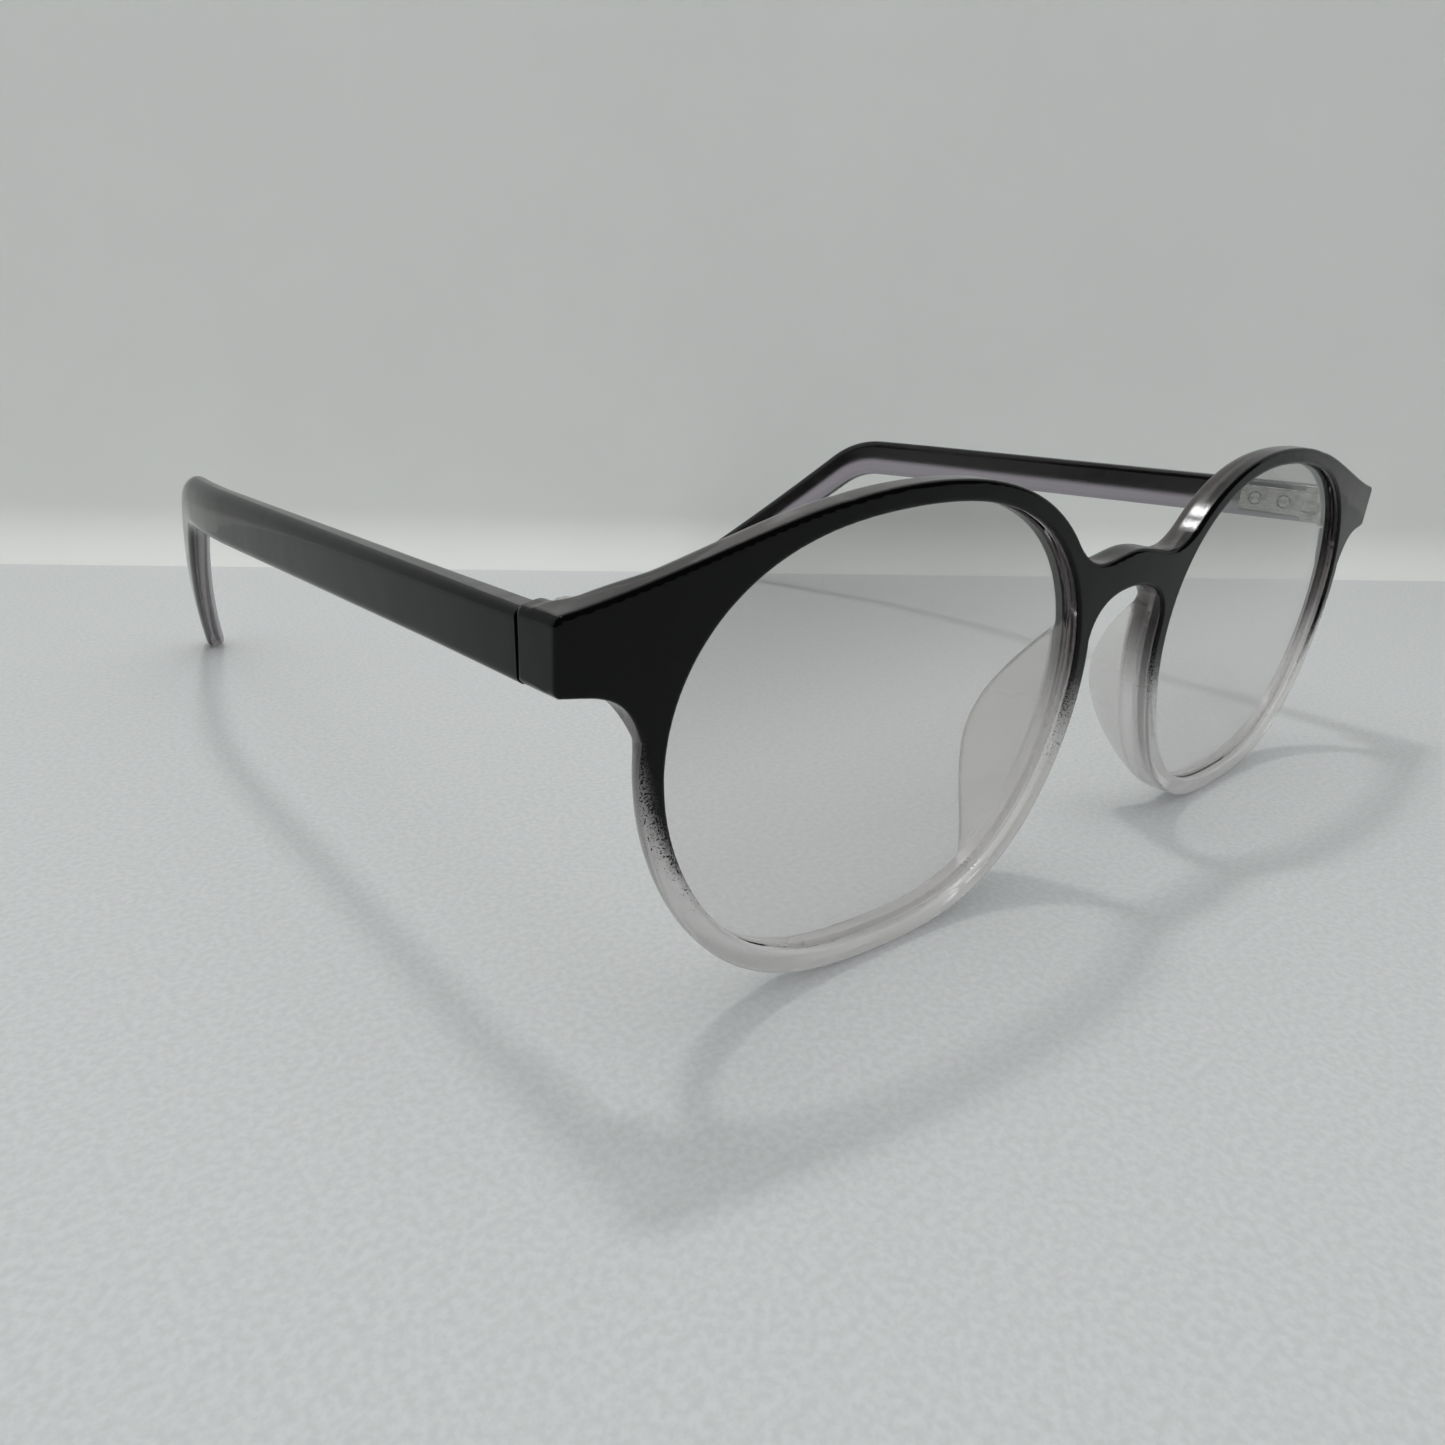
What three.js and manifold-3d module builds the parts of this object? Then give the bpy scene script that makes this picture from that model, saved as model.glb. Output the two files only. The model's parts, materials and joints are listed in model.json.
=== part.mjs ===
// Eyeglasses: a moulded plastic front with two round lenses, and two temples that fold on metal hinges.
// Millimetres, +Z up. The front faces -Y, the temples run to +Y, and the wearer's left is +X.
import * as THREE from "three";
import { mergeVertices } from "three/addons/utils/BufferGeometryUtils.js";
import Module from "manifold-3d";

const wasm = await Module();
wasm.setup();

const rad = THREE.MathUtils.degToRad;
const vec2 = (u, v) => new THREE.Vector2(u, v);
const vec3 = (x, y, z) => new THREE.Vector3(x, y, z);

// ---- Driving dimensions ----
const LENS_HALF_WIDTH = 25;
const LENS_HALF_HEIGHT = 20.6;
const LENS_GAP = 18.4; // distance between the two lens openings across the nose
// Small departures of the lens opening from an ellipse: cosine and sine amplitudes per number of lobes.
const LENS_LOBES = [
  { lobes: 2, cos: 0.25, sin: 0 },
  { lobes: 3, cos: 0.2, sin: 0.4 },
  { lobes: 4, cos: -0.45, sin: 0 },
  { lobes: 5, cos: 0, sin: 0.2 },
];
const RIM_WIDTH = 2.1; // seen from the front, at the sides
const RIM_WIDTH_CHANGE = 0.22; // the rim is wider by this at the bottom and narrower at the top
const FRONT_THICKNESS = 3.7;
const FRONT_BEND_RADIUS = 800; // the front wraps round the face
const FRONT_TILT = rad(-1.8); // the top leans forward
const EDGE_ROUNDING = 0.35;
const CONTOUR_STEP = rad(6);

const END_U = 67.7; // half of the front's width
const END_TOP = 37.0;
const END_BOTTOM = 31.45;
const END_CORNER = 0.3; // the end piece's corners are eased by this
const END_INNER_U = 65; // inner side of the return that the temple butts against
const END_DROP = 0.07; // the return falls by this per millimetre towards the temple
const END_FRONT_DEPTH = 0.8; // the return is moulded on from this depth
const JOINT_Y = 6.9; // the plane where the front meets the temples
const JOINT_GAP = 0.3;

const BRIDGE_TOP = 35.35;
const BRIDGE_BOTTOM = 31.4;

const LENS_BEND_RADIUS = 400;
const LENS_CENTRE_DEPTH = 0.9; // behind the front's face, at the middle of the lens
const LENS_THICKNESS = 1.2;
const BEVEL_HEIGHT = 0.75; // the lens edge's ridge, beyond the opening
const BEVEL_SHOULDER = 0.1;
const GROOVE_CLEARANCE = 0.25;

const PAD_TOP_ANGLE = rad(166.4);
const PAD_BOTTOM_ANGLE = rad(235);
const PAD_DEPTH = 6.5; // how far a nose pad stands out behind the rim
const PAD_SKEW = 0.83; // under 1, the deepest place is above the middle
const PAD_TAPER = 1.09; // over 1, the ends run out gently into the rim
const PAD_SPLAY = 0.52; // sideways travel per millimetre of depth
const PAD_ROOT_THICKNESS = 1.6;
const PAD_EDGE_THICKNESS = 1.3;
const PAD_ROOT_DEPTH = 0.7; // sunk into the rim

const TEMPLE_TOP_Z = 36.65; // at the joint
const TEMPLE_STRAIGHT = 86;
const TEMPLE_BEND_RADIUS = 20;
const TEMPLE_BEND = rad(36);
const TEMPLE_TAIL = 44.7;
const TEMPLE_DROP = rad(1.25); // the straight part falls by this towards the ear
const TEMPLE_INWARD = 11; // how far the tip curves in towards the head
const TEMPLE_INWARD_START = 70;

const HINGE_X = 62.7;
const HINGE_Y = 8.2;
const HINGE_Z = 33.8;
const BARREL_RADIUS = 1.2;
const BARREL_HEIGHT = 1.2;
const BARREL_GAP = 0.15;
const PIVOT_HOLE_RADIUS = 0.65;
const PIVOT_RADIUS = 0.55;
const LEAF_THICKNESS = 0.8;
const LEAF_HEIGHT = 3.6;
const LEAF_PLANE_X = 64.2; // inner face of the leaf that lies along the temple
const NECK_HALF_WIDTH = 0.9; // between a leaf and its barrels
const TEMPLE_LEAF_LEAD = 0.7; // the temple leaf starts this far ahead of the pivot
const SEAT_CLEARANCE = 0.25;
const FRONT_LEAF_Y = 4.35; // front side of the leaf that is let into the back of the front
const FRONT_LEAF_INNER_X = 57.3;
const TEMPLE_LEAF_END_Y = 19;
const SCREW_RADIUS = 0.45;
const SCREW_HEAD_RADIUS = 0.85;
const SCREW_HEAD_HEIGHT = 0.45;
const SCREW_LENGTH = 1.9;
const SCREW_CLEARANCE = 0.12;
const SCREW_SIDES = 16;
const SLOT_HALF_WIDTH = 0.13;
const SLOT_DEPTH = 0.22;
const PIVOT_HEAD_RADIUS = 1.0;
const PIVOT_HEAD_HEIGHT = 0.5;
const PIVOT_HEAD_GAP = 0.1;

// The row's origin is the middle of the footprint, on the surface that the glasses stand on.
const ORIGIN_Y = 69.04;

// ---- Solids ----
function toSolid(geometry) {
  const plain = new THREE.BufferGeometry();
  plain.setAttribute("position", geometry.getAttribute("position"));
  plain.setIndex(geometry.index);
  const merged = mergeVertices(plain, 1e-4);
  return new wasm.Manifold(
    new wasm.Mesh({
      numProp: 3,
      vertProperties: new Float32Array(merged.attributes.position.array),
      triVerts: new Uint32Array(merged.index.array),
    }),
  );
}

function toGeometry(solid) {
  const mesh = solid.getMesh();
  const geometry = new THREE.BufferGeometry();
  geometry.setAttribute("position", new THREE.BufferAttribute(new Float32Array(mesh.vertProperties), 3));
  geometry.setIndex(new THREE.BufferAttribute(new Uint32Array(mesh.triVerts), 1));
  return geometry;
}

function union(geometries) {
  return toGeometry(geometries.map(toSolid).reduce((whole, next) => whole.add(next)));
}

function cut(geometry, cutters) {
  return toGeometry(cutters.map(toSolid).reduce((whole, next) => whole.subtract(next), toSolid(geometry)));
}

function flipFaces(geometry) {
  const order = geometry.index.array;
  for (let i = 0; i < order.length; i += 3) {
    const first = order[i];
    order[i] = order[i + 1];
    order[i + 1] = first;
  }
  return geometry;
}

function mirrored(geometry) {
  const copy = mergeVertices(new THREE.BufferGeometry().copy(geometry), 1e-4);
  copy.scale(-1, 1, 1);
  return flipFaces(copy);
}

// A skin through closed rings of equal count, with a flat fan over each end.
function loft(rings) {
  const count = rings[0].length;
  const points = rings.flat();
  const faces = [];
  for (let r = 0; r + 1 < rings.length; r += 1) {
    for (let i = 0; i < count; i += 1) {
      const a = r * count + i;
      const b = r * count + ((i + 1) % count);
      faces.push(a, b, b + count, a, b + count, a + count);
    }
  }
  const middle = (ring) => ring.reduce((sum, p) => sum.add(p), vec3(0, 0, 0)).divideScalar(count);
  const first = points.length;
  const last = first + 1;
  const offset = (rings.length - 1) * count;
  points.push(middle(rings[0]), middle(rings[rings.length - 1]));
  for (let i = 0; i < count; i += 1) {
    const next = (i + 1) % count;
    faces.push(first, next, i, last, offset + i, offset + next);
  }
  const geometry = new THREE.BufferGeometry().setFromPoints(points);
  geometry.setIndex(faces);
  return signedVolume(geometry) < 0 ? flipFaces(geometry) : geometry;
}

function signedVolume(geometry) {
  const position = geometry.getAttribute("position");
  const corner = (i) => vec3(0, 0, 0).fromBufferAttribute(position, geometry.index.array[i]);
  let volume = 0;
  for (let i = 0; i < geometry.index.count; i += 3) {
    volume += corner(i).dot(corner(i + 1).cross(corner(i + 2))) / 6;
  }
  return volume;
}

function box(low, high) {
  const size = high.clone().sub(low);
  const middle = high.clone().add(low).multiplyScalar(0.5);
  return new THREE.BoxGeometry(size.x, size.y, size.z).translate(middle.x, middle.y, middle.z);
}

function uprightCylinder(radius, bottomZ, topZ, sides = 20) {
  const cylinder = new THREE.CylinderGeometry(radius, radius, topZ - bottomZ, sides);
  return cylinder.rotateX(Math.PI / 2).translate(HINGE_X, HINGE_Y, (topZ + bottomZ) / 2);
}

// ---- The front's outline, drawn flat: u from the middle outwards, v up from the rims' lowest point ----
function lensRadius(angle) {
  const ellipse = 1 / Math.hypot(Math.cos(angle) / LENS_HALF_WIDTH, Math.sin(angle) / LENS_HALF_HEIGHT);
  const wave = ({ lobes, cos, sin }) => cos * Math.cos(lobes * angle) + sin * Math.sin(lobes * angle);
  return LENS_LOBES.reduce((radius, lobe) => radius + wave(lobe), ellipse);
}

function rimWidth(angle) {
  return RIM_WIDTH - RIM_WIDTH_CHANGE * Math.sin(angle);
}

const LENS_U = LENS_GAP / 2 + lensRadius(Math.PI);
const LENS_V = lensRadius(-Math.PI / 2) + rimWidth(-Math.PI / 2);

function aroundLens(angle, beyondOpening) {
  const radius = lensRadius(angle) + beyondOpening;
  return vec2(LENS_U + radius * Math.cos(angle), LENS_V + radius * Math.sin(angle));
}

const rimPoint = (angle) => aroundLens(angle, rimWidth(angle));

function rimArc(fromDegrees, toDegrees) {
  const steps = Math.max(1, Math.round(Math.abs(rad(toDegrees - fromDegrees)) / CONTOUR_STEP));
  const pointAt = (_, i) => rimPoint(rad(THREE.MathUtils.lerp(fromDegrees, toDegrees, i / steps)));
  return Array.from({ length: steps + 1 }, pointAt);
}

function lensLoop(beyondOpening) {
  const steps = Math.round((2 * Math.PI) / CONTOUR_STEP);
  return Array.from({ length: steps }, (_, i) => aroundLens(i * CONTOUR_STEP, beyondOpening));
}

function curve(from, firstHandle, secondHandle, to, pieces) {
  return new THREE.CubicBezierCurve(from, firstHandle, secondHandle, to).getPoints(pieces);
}

const NOTCH_ANGLE = 146; // where the rim leaves the bridge, in degrees round the lens
const SHOULDER_ANGLE = 67; // where the end piece's top line leaves the rim
const UNDERARM_ANGLE = 9; // where the end piece's underside meets the rim
const ARCH_ANGLE = -189; // where the rim meets the arch under the bridge

const endPieceTop = curve(
  rimPoint(rad(SHOULDER_ANGLE)),
  vec2(48.6, 42.4),
  vec2(60.2, 38.2),
  vec2(END_U - END_CORNER, END_TOP + 0.05),
  10,
);
const endPieceUnderside = [
  vec2(END_U, END_BOTTOM + END_CORNER),
  vec2(END_U - END_CORNER, END_BOTTOM - 0.05),
  ...curve(
    vec2(65, 31.05),
    vec2(62.6, 30.6),
    vec2(61.5, 29.4),
    rimPoint(rad(UNDERARM_ANGLE)),
    7,
  ),
];

function halfOutline() {
  const bridgeTop = curve(
    vec2(0, BRIDGE_TOP),
    vec2(4.2, BRIDGE_TOP),
    vec2(7.6, 32.6),
    rimPoint(rad(NOTCH_ANGLE)),
    9,
  );
  const archFoot = rimPoint(rad(ARCH_ANGLE));
  const arch = curve(archFoot, vec2(6.9, 29.6), vec2(4.6, BRIDGE_BOTTOM), vec2(0, BRIDGE_BOTTOM), 8);
  return [
    ...bridgeTop.slice(0, -1),
    ...rimArc(NOTCH_ANGLE, SHOULDER_ANGLE).slice(0, -1),
    ...endPieceTop,
    vec2(END_U, END_TOP - END_CORNER),
    ...endPieceUnderside.slice(0, -1),
    ...rimArc(UNDERARM_ANGLE, ARCH_ANGLE).slice(0, -1),
    ...arch,
  ];
}

const acrossNose = (points) => points.map((p) => vec2(-p.x, p.y)).reverse();

// Extrudes a flat outline rearwards from depth `from` to depth `to`, as (u, depth, v).
function plate(shape, from, to, rounding) {
  const geometry = new THREE.ExtrudeGeometry(shape, {
    depth: to - from - 2 * rounding,
    steps: 1,
    bevelEnabled: rounding > 0,
    bevelThickness: rounding,
    bevelSize: rounding,
    bevelOffset: -rounding,
    bevelSegments: 2,
  });
  return geometry.rotateX(Math.PI / 2).translate(0, to - rounding, 0);
}

// Lets the return fall towards the temple.
function sloped(geometry) {
  const position = geometry.getAttribute("position");
  for (let i = 0; i < position.count; i += 1) {
    position.setZ(i, position.getZ(i) - END_DROP * (position.getY(i) - END_FRONT_DEPTH));
  }
  return geometry;
}

// Wraps and tilts a piece drawn flat into its place on the glasses.
function wrap(geometry) {
  const position = geometry.getAttribute("position");
  for (let i = 0; i < position.count; i += 1) {
    const depth = position.getY(i) + position.getX(i) ** 2 / (2 * FRONT_BEND_RADIUS);
    const height = position.getZ(i);
    position.setY(i, depth * Math.cos(FRONT_TILT) + height * Math.sin(FRONT_TILT));
    position.setZ(i, height * Math.cos(FRONT_TILT) - depth * Math.sin(FRONT_TILT));
  }
  return geometry;
}

// ---- Lenses: a thin curved disc with a ridge round its edge that sits in the rim's groove ----
function lensDisc(grow) {
  const thickness = LENS_THICKNESS + 2 * grow;
  const loops = [0.5];
  const centre = vec2(LENS_U, LENS_V);
  const depthAt = (p) => LENS_CENTRE_DEPTH + p.distanceToSquared(centre) / (2 * LENS_BEND_RADIUS);
  const ring = (points, side) => points.map((p) => vec3(p.x, depthAt(p) + (side * thickness) / 2, p.y));
  const inner = (share) => lensLoop(BEVEL_SHOULDER + grow).map((p) => p.lerp(centre, 1 - share));
  return loft([
    ...loops.map((share) => ring(inner(share), -1)),
    ring(lensLoop(BEVEL_SHOULDER + grow), -1),
    ring(lensLoop(BEVEL_HEIGHT + grow), 0),
    ring(lensLoop(BEVEL_SHOULDER + grow), 1),
    ...loops.map((share) => ring(inner(share), 1)).reverse(),
  ]);
}

// ---- Nose pads: curved walls that stand out behind the rims beside the nose ----
function nosePad() {
  const stations = 18;
  const root = PAD_ROOT_THICKNESS;
  const edge = PAD_EDGE_THICKNESS;
  const rings = [];
  for (let i = 0; i <= stations; i += 1) {
    const share = i / stations;
    const angle = THREE.MathUtils.lerp(PAD_TOP_ANGLE, PAD_BOTTOM_ANGLE, share);
    const swell = Math.max(0, Math.sin(Math.PI * share ** PAD_SKEW)) ** PAD_TAPER;
    const reach = PAD_DEPTH * swell - PAD_ROOT_DEPTH / 2;
    const away = vec2(Math.cos(angle), Math.sin(angle));
    const at = (towardsLens, rise) => {
      const back = (reach + PAD_ROOT_DEPTH) * rise - PAD_ROOT_DEPTH;
      const p = rimPoint(angle).addScaledVector(away, -towardsLens - PAD_SPLAY * Math.max(0, back));
      return vec3(p.x, FRONT_THICKNESS + back, p.y);
    };
    rings.push([
      at(0.4, 0),
      at(0.2, 0.4),
      at(0, 0.7),
      at(0.05, 0.96),
      at(0.3 * edge, 1),
      at(0.7 * edge, 1),
      at(edge, 0.96),
      at(0.5 * (edge + root), 0.6),
      at(root, 0),
    ]);
  }
  return loft(rings);
}

// ---- Hinge hardware ----
const HINGE_BOTTOM = HINGE_Z - 1.5 * BARREL_HEIGHT - BARREL_GAP;
const barrelBottom = (level) => HINGE_BOTTOM + level * (BARREL_HEIGHT + BARREL_GAP);
const LEAF_BOTTOM = HINGE_Z - LEAF_HEIGHT / 2;
const LEAF_TOP = HINGE_Z + LEAF_HEIGHT / 2;
const TEMPLE_LEAF_X = LEAF_PLANE_X + LEAF_THICKNESS;
const FRONT_SCREW_X = [58.6, 61.3];
const TEMPLE_SCREW_Y = [12.6, 16.8];

// A slotted countersunk screw: its head's face is at z = 0 and its shank points down.
function screw(radius, headRadius, headHeight, length, grow = 0) {
  const profile = [
    vec2(0, -length - grow),
    vec2(radius + grow, -length - grow),
    vec2(radius + grow, -headHeight - grow),
    vec2(headRadius + grow, -0.12),
    vec2(headRadius + grow, 0),
    vec2(0, 0),
  ];
  return new THREE.LatheGeometry(profile, SCREW_SIDES).rotateX(Math.PI / 2);
}

function screwSlot(headRadius, depth) {
  return box(vec3(-headRadius * 2, -SLOT_HALF_WIDTH, -depth), vec3(headRadius * 2, SLOT_HALF_WIDTH, 1));
}

const smallScrew = () => {
  const whole = screw(SCREW_RADIUS, SCREW_HEAD_RADIUS, SCREW_HEAD_HEIGHT, SCREW_LENGTH);
  return cut(whole, [screwSlot(SCREW_HEAD_RADIUS, SLOT_DEPTH)]);
};
const smallScrewHole = () => {
  const hole = screw(SCREW_RADIUS, SCREW_HEAD_RADIUS, SCREW_HEAD_HEIGHT, SCREW_LENGTH, SCREW_CLEARANCE);
  const mouthRadius = SCREW_HEAD_RADIUS + SCREW_CLEARANCE;
  const mouth = new THREE.CylinderGeometry(mouthRadius, mouthRadius, 1, SCREW_SIDES);
  return union([hole, mouth.rotateX(Math.PI / 2).translate(0, 0, 0.45)]);
};

// The front leaf's screws go in from its rear face, and the temple leaf's from its inner face.
const inFrontLeaf = (geometry, x) =>
  geometry.rotateX(-Math.PI / 2).translate(x, FRONT_LEAF_Y + LEAF_THICKNESS - 0.05, HINGE_Z);
const inTempleLeaf = (geometry, y) =>
  geometry.rotateY(-Math.PI / 2).translate(LEAF_PLANE_X + 0.05, y, HINGE_Z);

function frontLeaf() {
  const rearFace = FRONT_LEAF_Y + LEAF_THICKNESS;
  const wall = box(
    vec3(FRONT_LEAF_INNER_X, FRONT_LEAF_Y, LEAF_BOTTOM),
    vec3(HINGE_X + NECK_HALF_WIDTH, rearFace, LEAF_TOP),
  );
  const barrels = [0, 2].flatMap((level) => {
    const bottom = barrelBottom(level);
    const top = bottom + BARREL_HEIGHT;
    const neck = box(
      vec3(HINGE_X - NECK_HALF_WIDTH, rearFace - 0.2, bottom),
      vec3(HINGE_X + NECK_HALF_WIDTH, HINGE_Y, top),
    );
    return [uprightCylinder(BARREL_RADIUS, bottom, top), neck];
  });
  const bore = uprightCylinder(PIVOT_HOLE_RADIUS, HINGE_BOTTOM - 1, LEAF_TOP + 2);
  const holes = FRONT_SCREW_X.map((x) => inFrontLeaf(smallScrewHole(), x));
  return cut(union([wall, ...barrels]), [bore, ...holes]);
}

function templeLeaf() {
  const bottom = barrelBottom(1);
  const top = bottom + BARREL_HEIGHT;
  const wall = box(
    vec3(LEAF_PLANE_X, HINGE_Y - TEMPLE_LEAF_LEAD, LEAF_BOTTOM),
    vec3(TEMPLE_LEAF_X, TEMPLE_LEAF_END_Y, LEAF_TOP),
  );
  const neck = box(
    vec3(HINGE_X, HINGE_Y - TEMPLE_LEAF_LEAD, bottom),
    vec3(LEAF_PLANE_X + 0.2, HINGE_Y + NECK_HALF_WIDTH, top),
  );
  const bore = uprightCylinder(PIVOT_HOLE_RADIUS, bottom - 1, top + 1);
  const holes = TEMPLE_SCREW_Y.map((y) => inTempleLeaf(smallScrewHole(), y));
  return cut(union([wall, neck, uprightCylinder(BARREL_RADIUS, bottom, top)]), [bore, ...holes]);
}

function pivotScrew() {
  const seat = barrelBottom(2) + BARREL_HEIGHT + PIVOT_HEAD_GAP;
  const headTop = seat + PIVOT_HEAD_HEIGHT;
  const shank = uprightCylinder(PIVOT_RADIUS, HINGE_BOTTOM + PIVOT_HEAD_GAP, seat + PIVOT_HEAD_HEIGHT / 2);
  const head = uprightCylinder(PIVOT_HEAD_RADIUS, seat, headTop);
  const slot = screwSlot(PIVOT_HEAD_RADIUS, SLOT_DEPTH).translate(HINGE_X, HINGE_Y, headTop);
  return cut(union([shank, head]), [slot]);
}

// ---- The front: rims, bridge, end pieces and nose pads moulded in one ----
function frontFrame() {
  const outer = [...halfOutline().slice(0, -1), ...acrossNose(halfOutline()).slice(0, -1)];
  const shape = new THREE.Shape(outer);
  shape.holes = [new THREE.Path(lensLoop(0)), new THREE.Path(acrossNose(lensLoop(0)))];
  const endPiece = [...endPieceTop, vec2(END_U, END_TOP - END_CORNER), ...endPieceUnderside];
  const corner = endPiece.filter((p) => p.x > END_INNER_U);
  const returnTop = corner[0].y + 0.05;
  const returnBottom = corner[corner.length - 1].y - 0.05;
  const returnShape = new THREE.Shape([
    vec2(END_INNER_U, returnTop),
    ...corner,
    vec2(END_INNER_U, returnBottom),
  ]);
  const leftReturn = sloped(plate(returnShape, END_FRONT_DEPTH, 9, 0));
  const leftPad = nosePad();
  const blank = union([
    plate(shape, 0, FRONT_THICKNESS, EDGE_ROUNDING),
    leftReturn,
    mirrored(leftReturn),
    leftPad,
    mirrored(leftPad),
  ]);
  const groove = lensDisc(GROOVE_CLEARANCE);
  const moulded = wrap(cut(blank, [groove, mirrored(groove)]));
  const behindJoint = box(vec3(HINGE_X, JOINT_Y, 20), vec3(END_U + 5, JOINT_Y + 20, 45));
  const leafSeat = box(
    vec3(FRONT_LEAF_INNER_X - SEAT_CLEARANCE, FRONT_LEAF_Y - SEAT_CLEARANCE, LEAF_BOTTOM - SEAT_CLEARANCE),
    vec3(LEAF_PLANE_X - 0.05, JOINT_Y, LEAF_TOP + SEAT_CLEARANCE),
  );
  const holes = FRONT_SCREW_X.map((x) => inFrontLeaf(smallScrewHole(), x));
  const oneSide = [behindJoint, leafSeat, ...holes];
  return cut(moulded, [...oneSide, ...oneSide.map(mirrored)]);
}

// ---- Temples ----
const TEMPLE_FRONT_Y = JOINT_Y + JOINT_GAP;
const TEMPLE_LENGTH = TEMPLE_STRAIGHT + TEMPLE_BEND_RADIUS * TEMPLE_BEND + TEMPLE_TAIL;
const TIP_ROUNDING = 3;

// Height, thickness and corner rounding of the temple's section along its length.
const TEMPLE_SECTIONS = [
  { at: 0, height: 5.5, thickness: 2.8, corner: 0.35 },
  { at: 14, height: 5.6, thickness: 2.8, corner: 0.6 },
  { at: TEMPLE_STRAIGHT, height: 6.6, thickness: 2.8, corner: 1.2 },
  { at: TEMPLE_LENGTH, height: 6.0, thickness: 2.8, corner: 1.35 },
];

function sectionAt(distance) {
  const next = Math.max(1, TEMPLE_SECTIONS.findIndex((s) => s.at >= distance));
  const [a, b] = [TEMPLE_SECTIONS[next - 1], TEMPLE_SECTIONS[next]];
  const share = (distance - a.at) / (b.at - a.at);
  const mix = (key) => THREE.MathUtils.lerp(a[key], b[key], share);
  return { height: mix("height"), thickness: mix("thickness"), corner: mix("corner") };
}

// The temple's top edge: straight, then bent down round the ear, then straight to the tip.
function templePath(distance) {
  const turned = THREE.MathUtils.clamp((distance - TEMPLE_STRAIGHT) / TEMPLE_BEND_RADIUS, 0, TEMPLE_BEND);
  const straight = Math.min(distance, TEMPLE_STRAIGHT);
  const tail = Math.max(0, distance - TEMPLE_STRAIGHT - TEMPLE_BEND_RADIUS * TEMPLE_BEND);
  const along = straight + TEMPLE_BEND_RADIUS * Math.sin(turned) + tail * Math.cos(turned);
  const down = TEMPLE_BEND_RADIUS * (1 - Math.cos(turned)) + tail * Math.sin(turned);
  return {
    y: TEMPLE_FRONT_Y + along * Math.cos(TEMPLE_DROP) - down * Math.sin(TEMPLE_DROP),
    z: TEMPLE_TOP_Z - down * Math.cos(TEMPLE_DROP) - along * Math.sin(TEMPLE_DROP),
    pitch: turned + TEMPLE_DROP,
  };
}

function inwardShift(distance) {
  const share = Math.max(0, distance - TEMPLE_INWARD_START) / (TEMPLE_LENGTH - TEMPLE_INWARD_START);
  return TEMPLE_INWARD * share ** 1.7;
}

function roundedSection(halfThickness, halfHeight, corner) {
  const points = [];
  const quarters = [
    [1, 1],
    [-1, 1],
    [-1, -1],
    [1, -1],
  ];
  quarters.forEach(([side, level], quarter) => {
    for (let i = 0; i <= 2; i += 1) {
      const angle = (quarter + i / 2) * (Math.PI / 2);
      const across = side * (halfThickness - corner) + corner * Math.cos(angle);
      const up = level * (halfHeight - corner) + corner * Math.sin(angle);
      points.push(vec2(across, up));
    }
  });
  return points;
}

function templeRing(distance) {
  const { height, thickness, corner } = sectionAt(distance);
  const { y, z, pitch } = templePath(distance);
  const fromTip = Math.min(1, (TEMPLE_LENGTH - distance) / TIP_ROUNDING);
  const narrowing = Math.sqrt(Math.max(0.04, 1 - (1 - fromTip) ** 2));
  const x = END_U - thickness / 2 - inwardShift(distance);
  const steep = inwardShift(distance + 0.5) - inwardShift(distance - 0.5);
  const up = vec3(0, Math.sin(pitch), Math.cos(pitch));
  const across = vec3(1, steep * Math.cos(pitch), -steep * Math.sin(pitch)).normalize();
  const middle = vec3(x, y, z).addScaledVector(up, -height / 2);
  const round = Math.min(corner, (thickness / 2) * narrowing * 0.98);
  return roundedSection((thickness / 2) * Math.sqrt(narrowing), (height / 2) * narrowing, round).map((p) =>
    middle.clone().addScaledVector(across, p.x).addScaledVector(up, p.y),
  );
}

function temple() {
  const straightStops = [0, 0.4, 14, 30, 50, 70, 78];
  const roundingStart = TEMPLE_LENGTH - TIP_ROUNDING;
  const curvedStop = (_, i) => THREE.MathUtils.lerp(TEMPLE_STRAIGHT, roundingStart, i / 14);
  const curvedStops = Array.from({ length: 15 }, curvedStop);
  const tipStops = [0.3, 0.6, 0.82, 0.95, 1].map((share) => TEMPLE_LENGTH - TIP_ROUNDING * (1 - share));
  const body = loft([...straightStops, ...curvedStops, ...tipStops].map(templeRing));
  const leafSeat = box(
    vec3(LEAF_PLANE_X - 3, TEMPLE_FRONT_Y - 1, LEAF_BOTTOM - SEAT_CLEARANCE),
    vec3(TEMPLE_LEAF_X + SEAT_CLEARANCE, TEMPLE_LEAF_END_Y + SEAT_CLEARANCE, LEAF_TOP + SEAT_CLEARANCE),
  );
  return cut(body, [leafSeat, ...TEMPLE_SCREW_Y.map((y) => inTempleLeaf(smallScrewHole(), y))]);
}

// ---- Assembly ----
const material = (color, roughness, metalness, opacity = 1) =>
  new THREE.MeshStandardMaterial({ color, roughness, metalness, opacity, transparent: opacity < 1 });
const MATERIALS = {
  frame: () => material(0x1c1b1e, 0.18, 0),
  lens: () => material(0xcfd6d2, 0.04, 0, 0.35),
  hinge: () => material(0xb9b7b2, 0.3, 1),
  screw: () => material(0xc9c6bf, 0.25, 1),
};

const glasses = new THREE.Group();
glasses.name = "eyeglasses";

function place(name, geometry, look) {
  const placed = geometry.clone().translate(0, -ORIGIN_Y, 0);
  placed.computeVertexNormals();
  const mesh = new THREE.Mesh(placed, look());
  mesh.name = name;
  glasses.add(mesh);
}

function placePair(name, geometry, look, ending = "") {
  place(`${name}_left${ending}`, geometry, look);
  place(`${name}_right${ending}`, mirrored(geometry), look);
}

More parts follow.
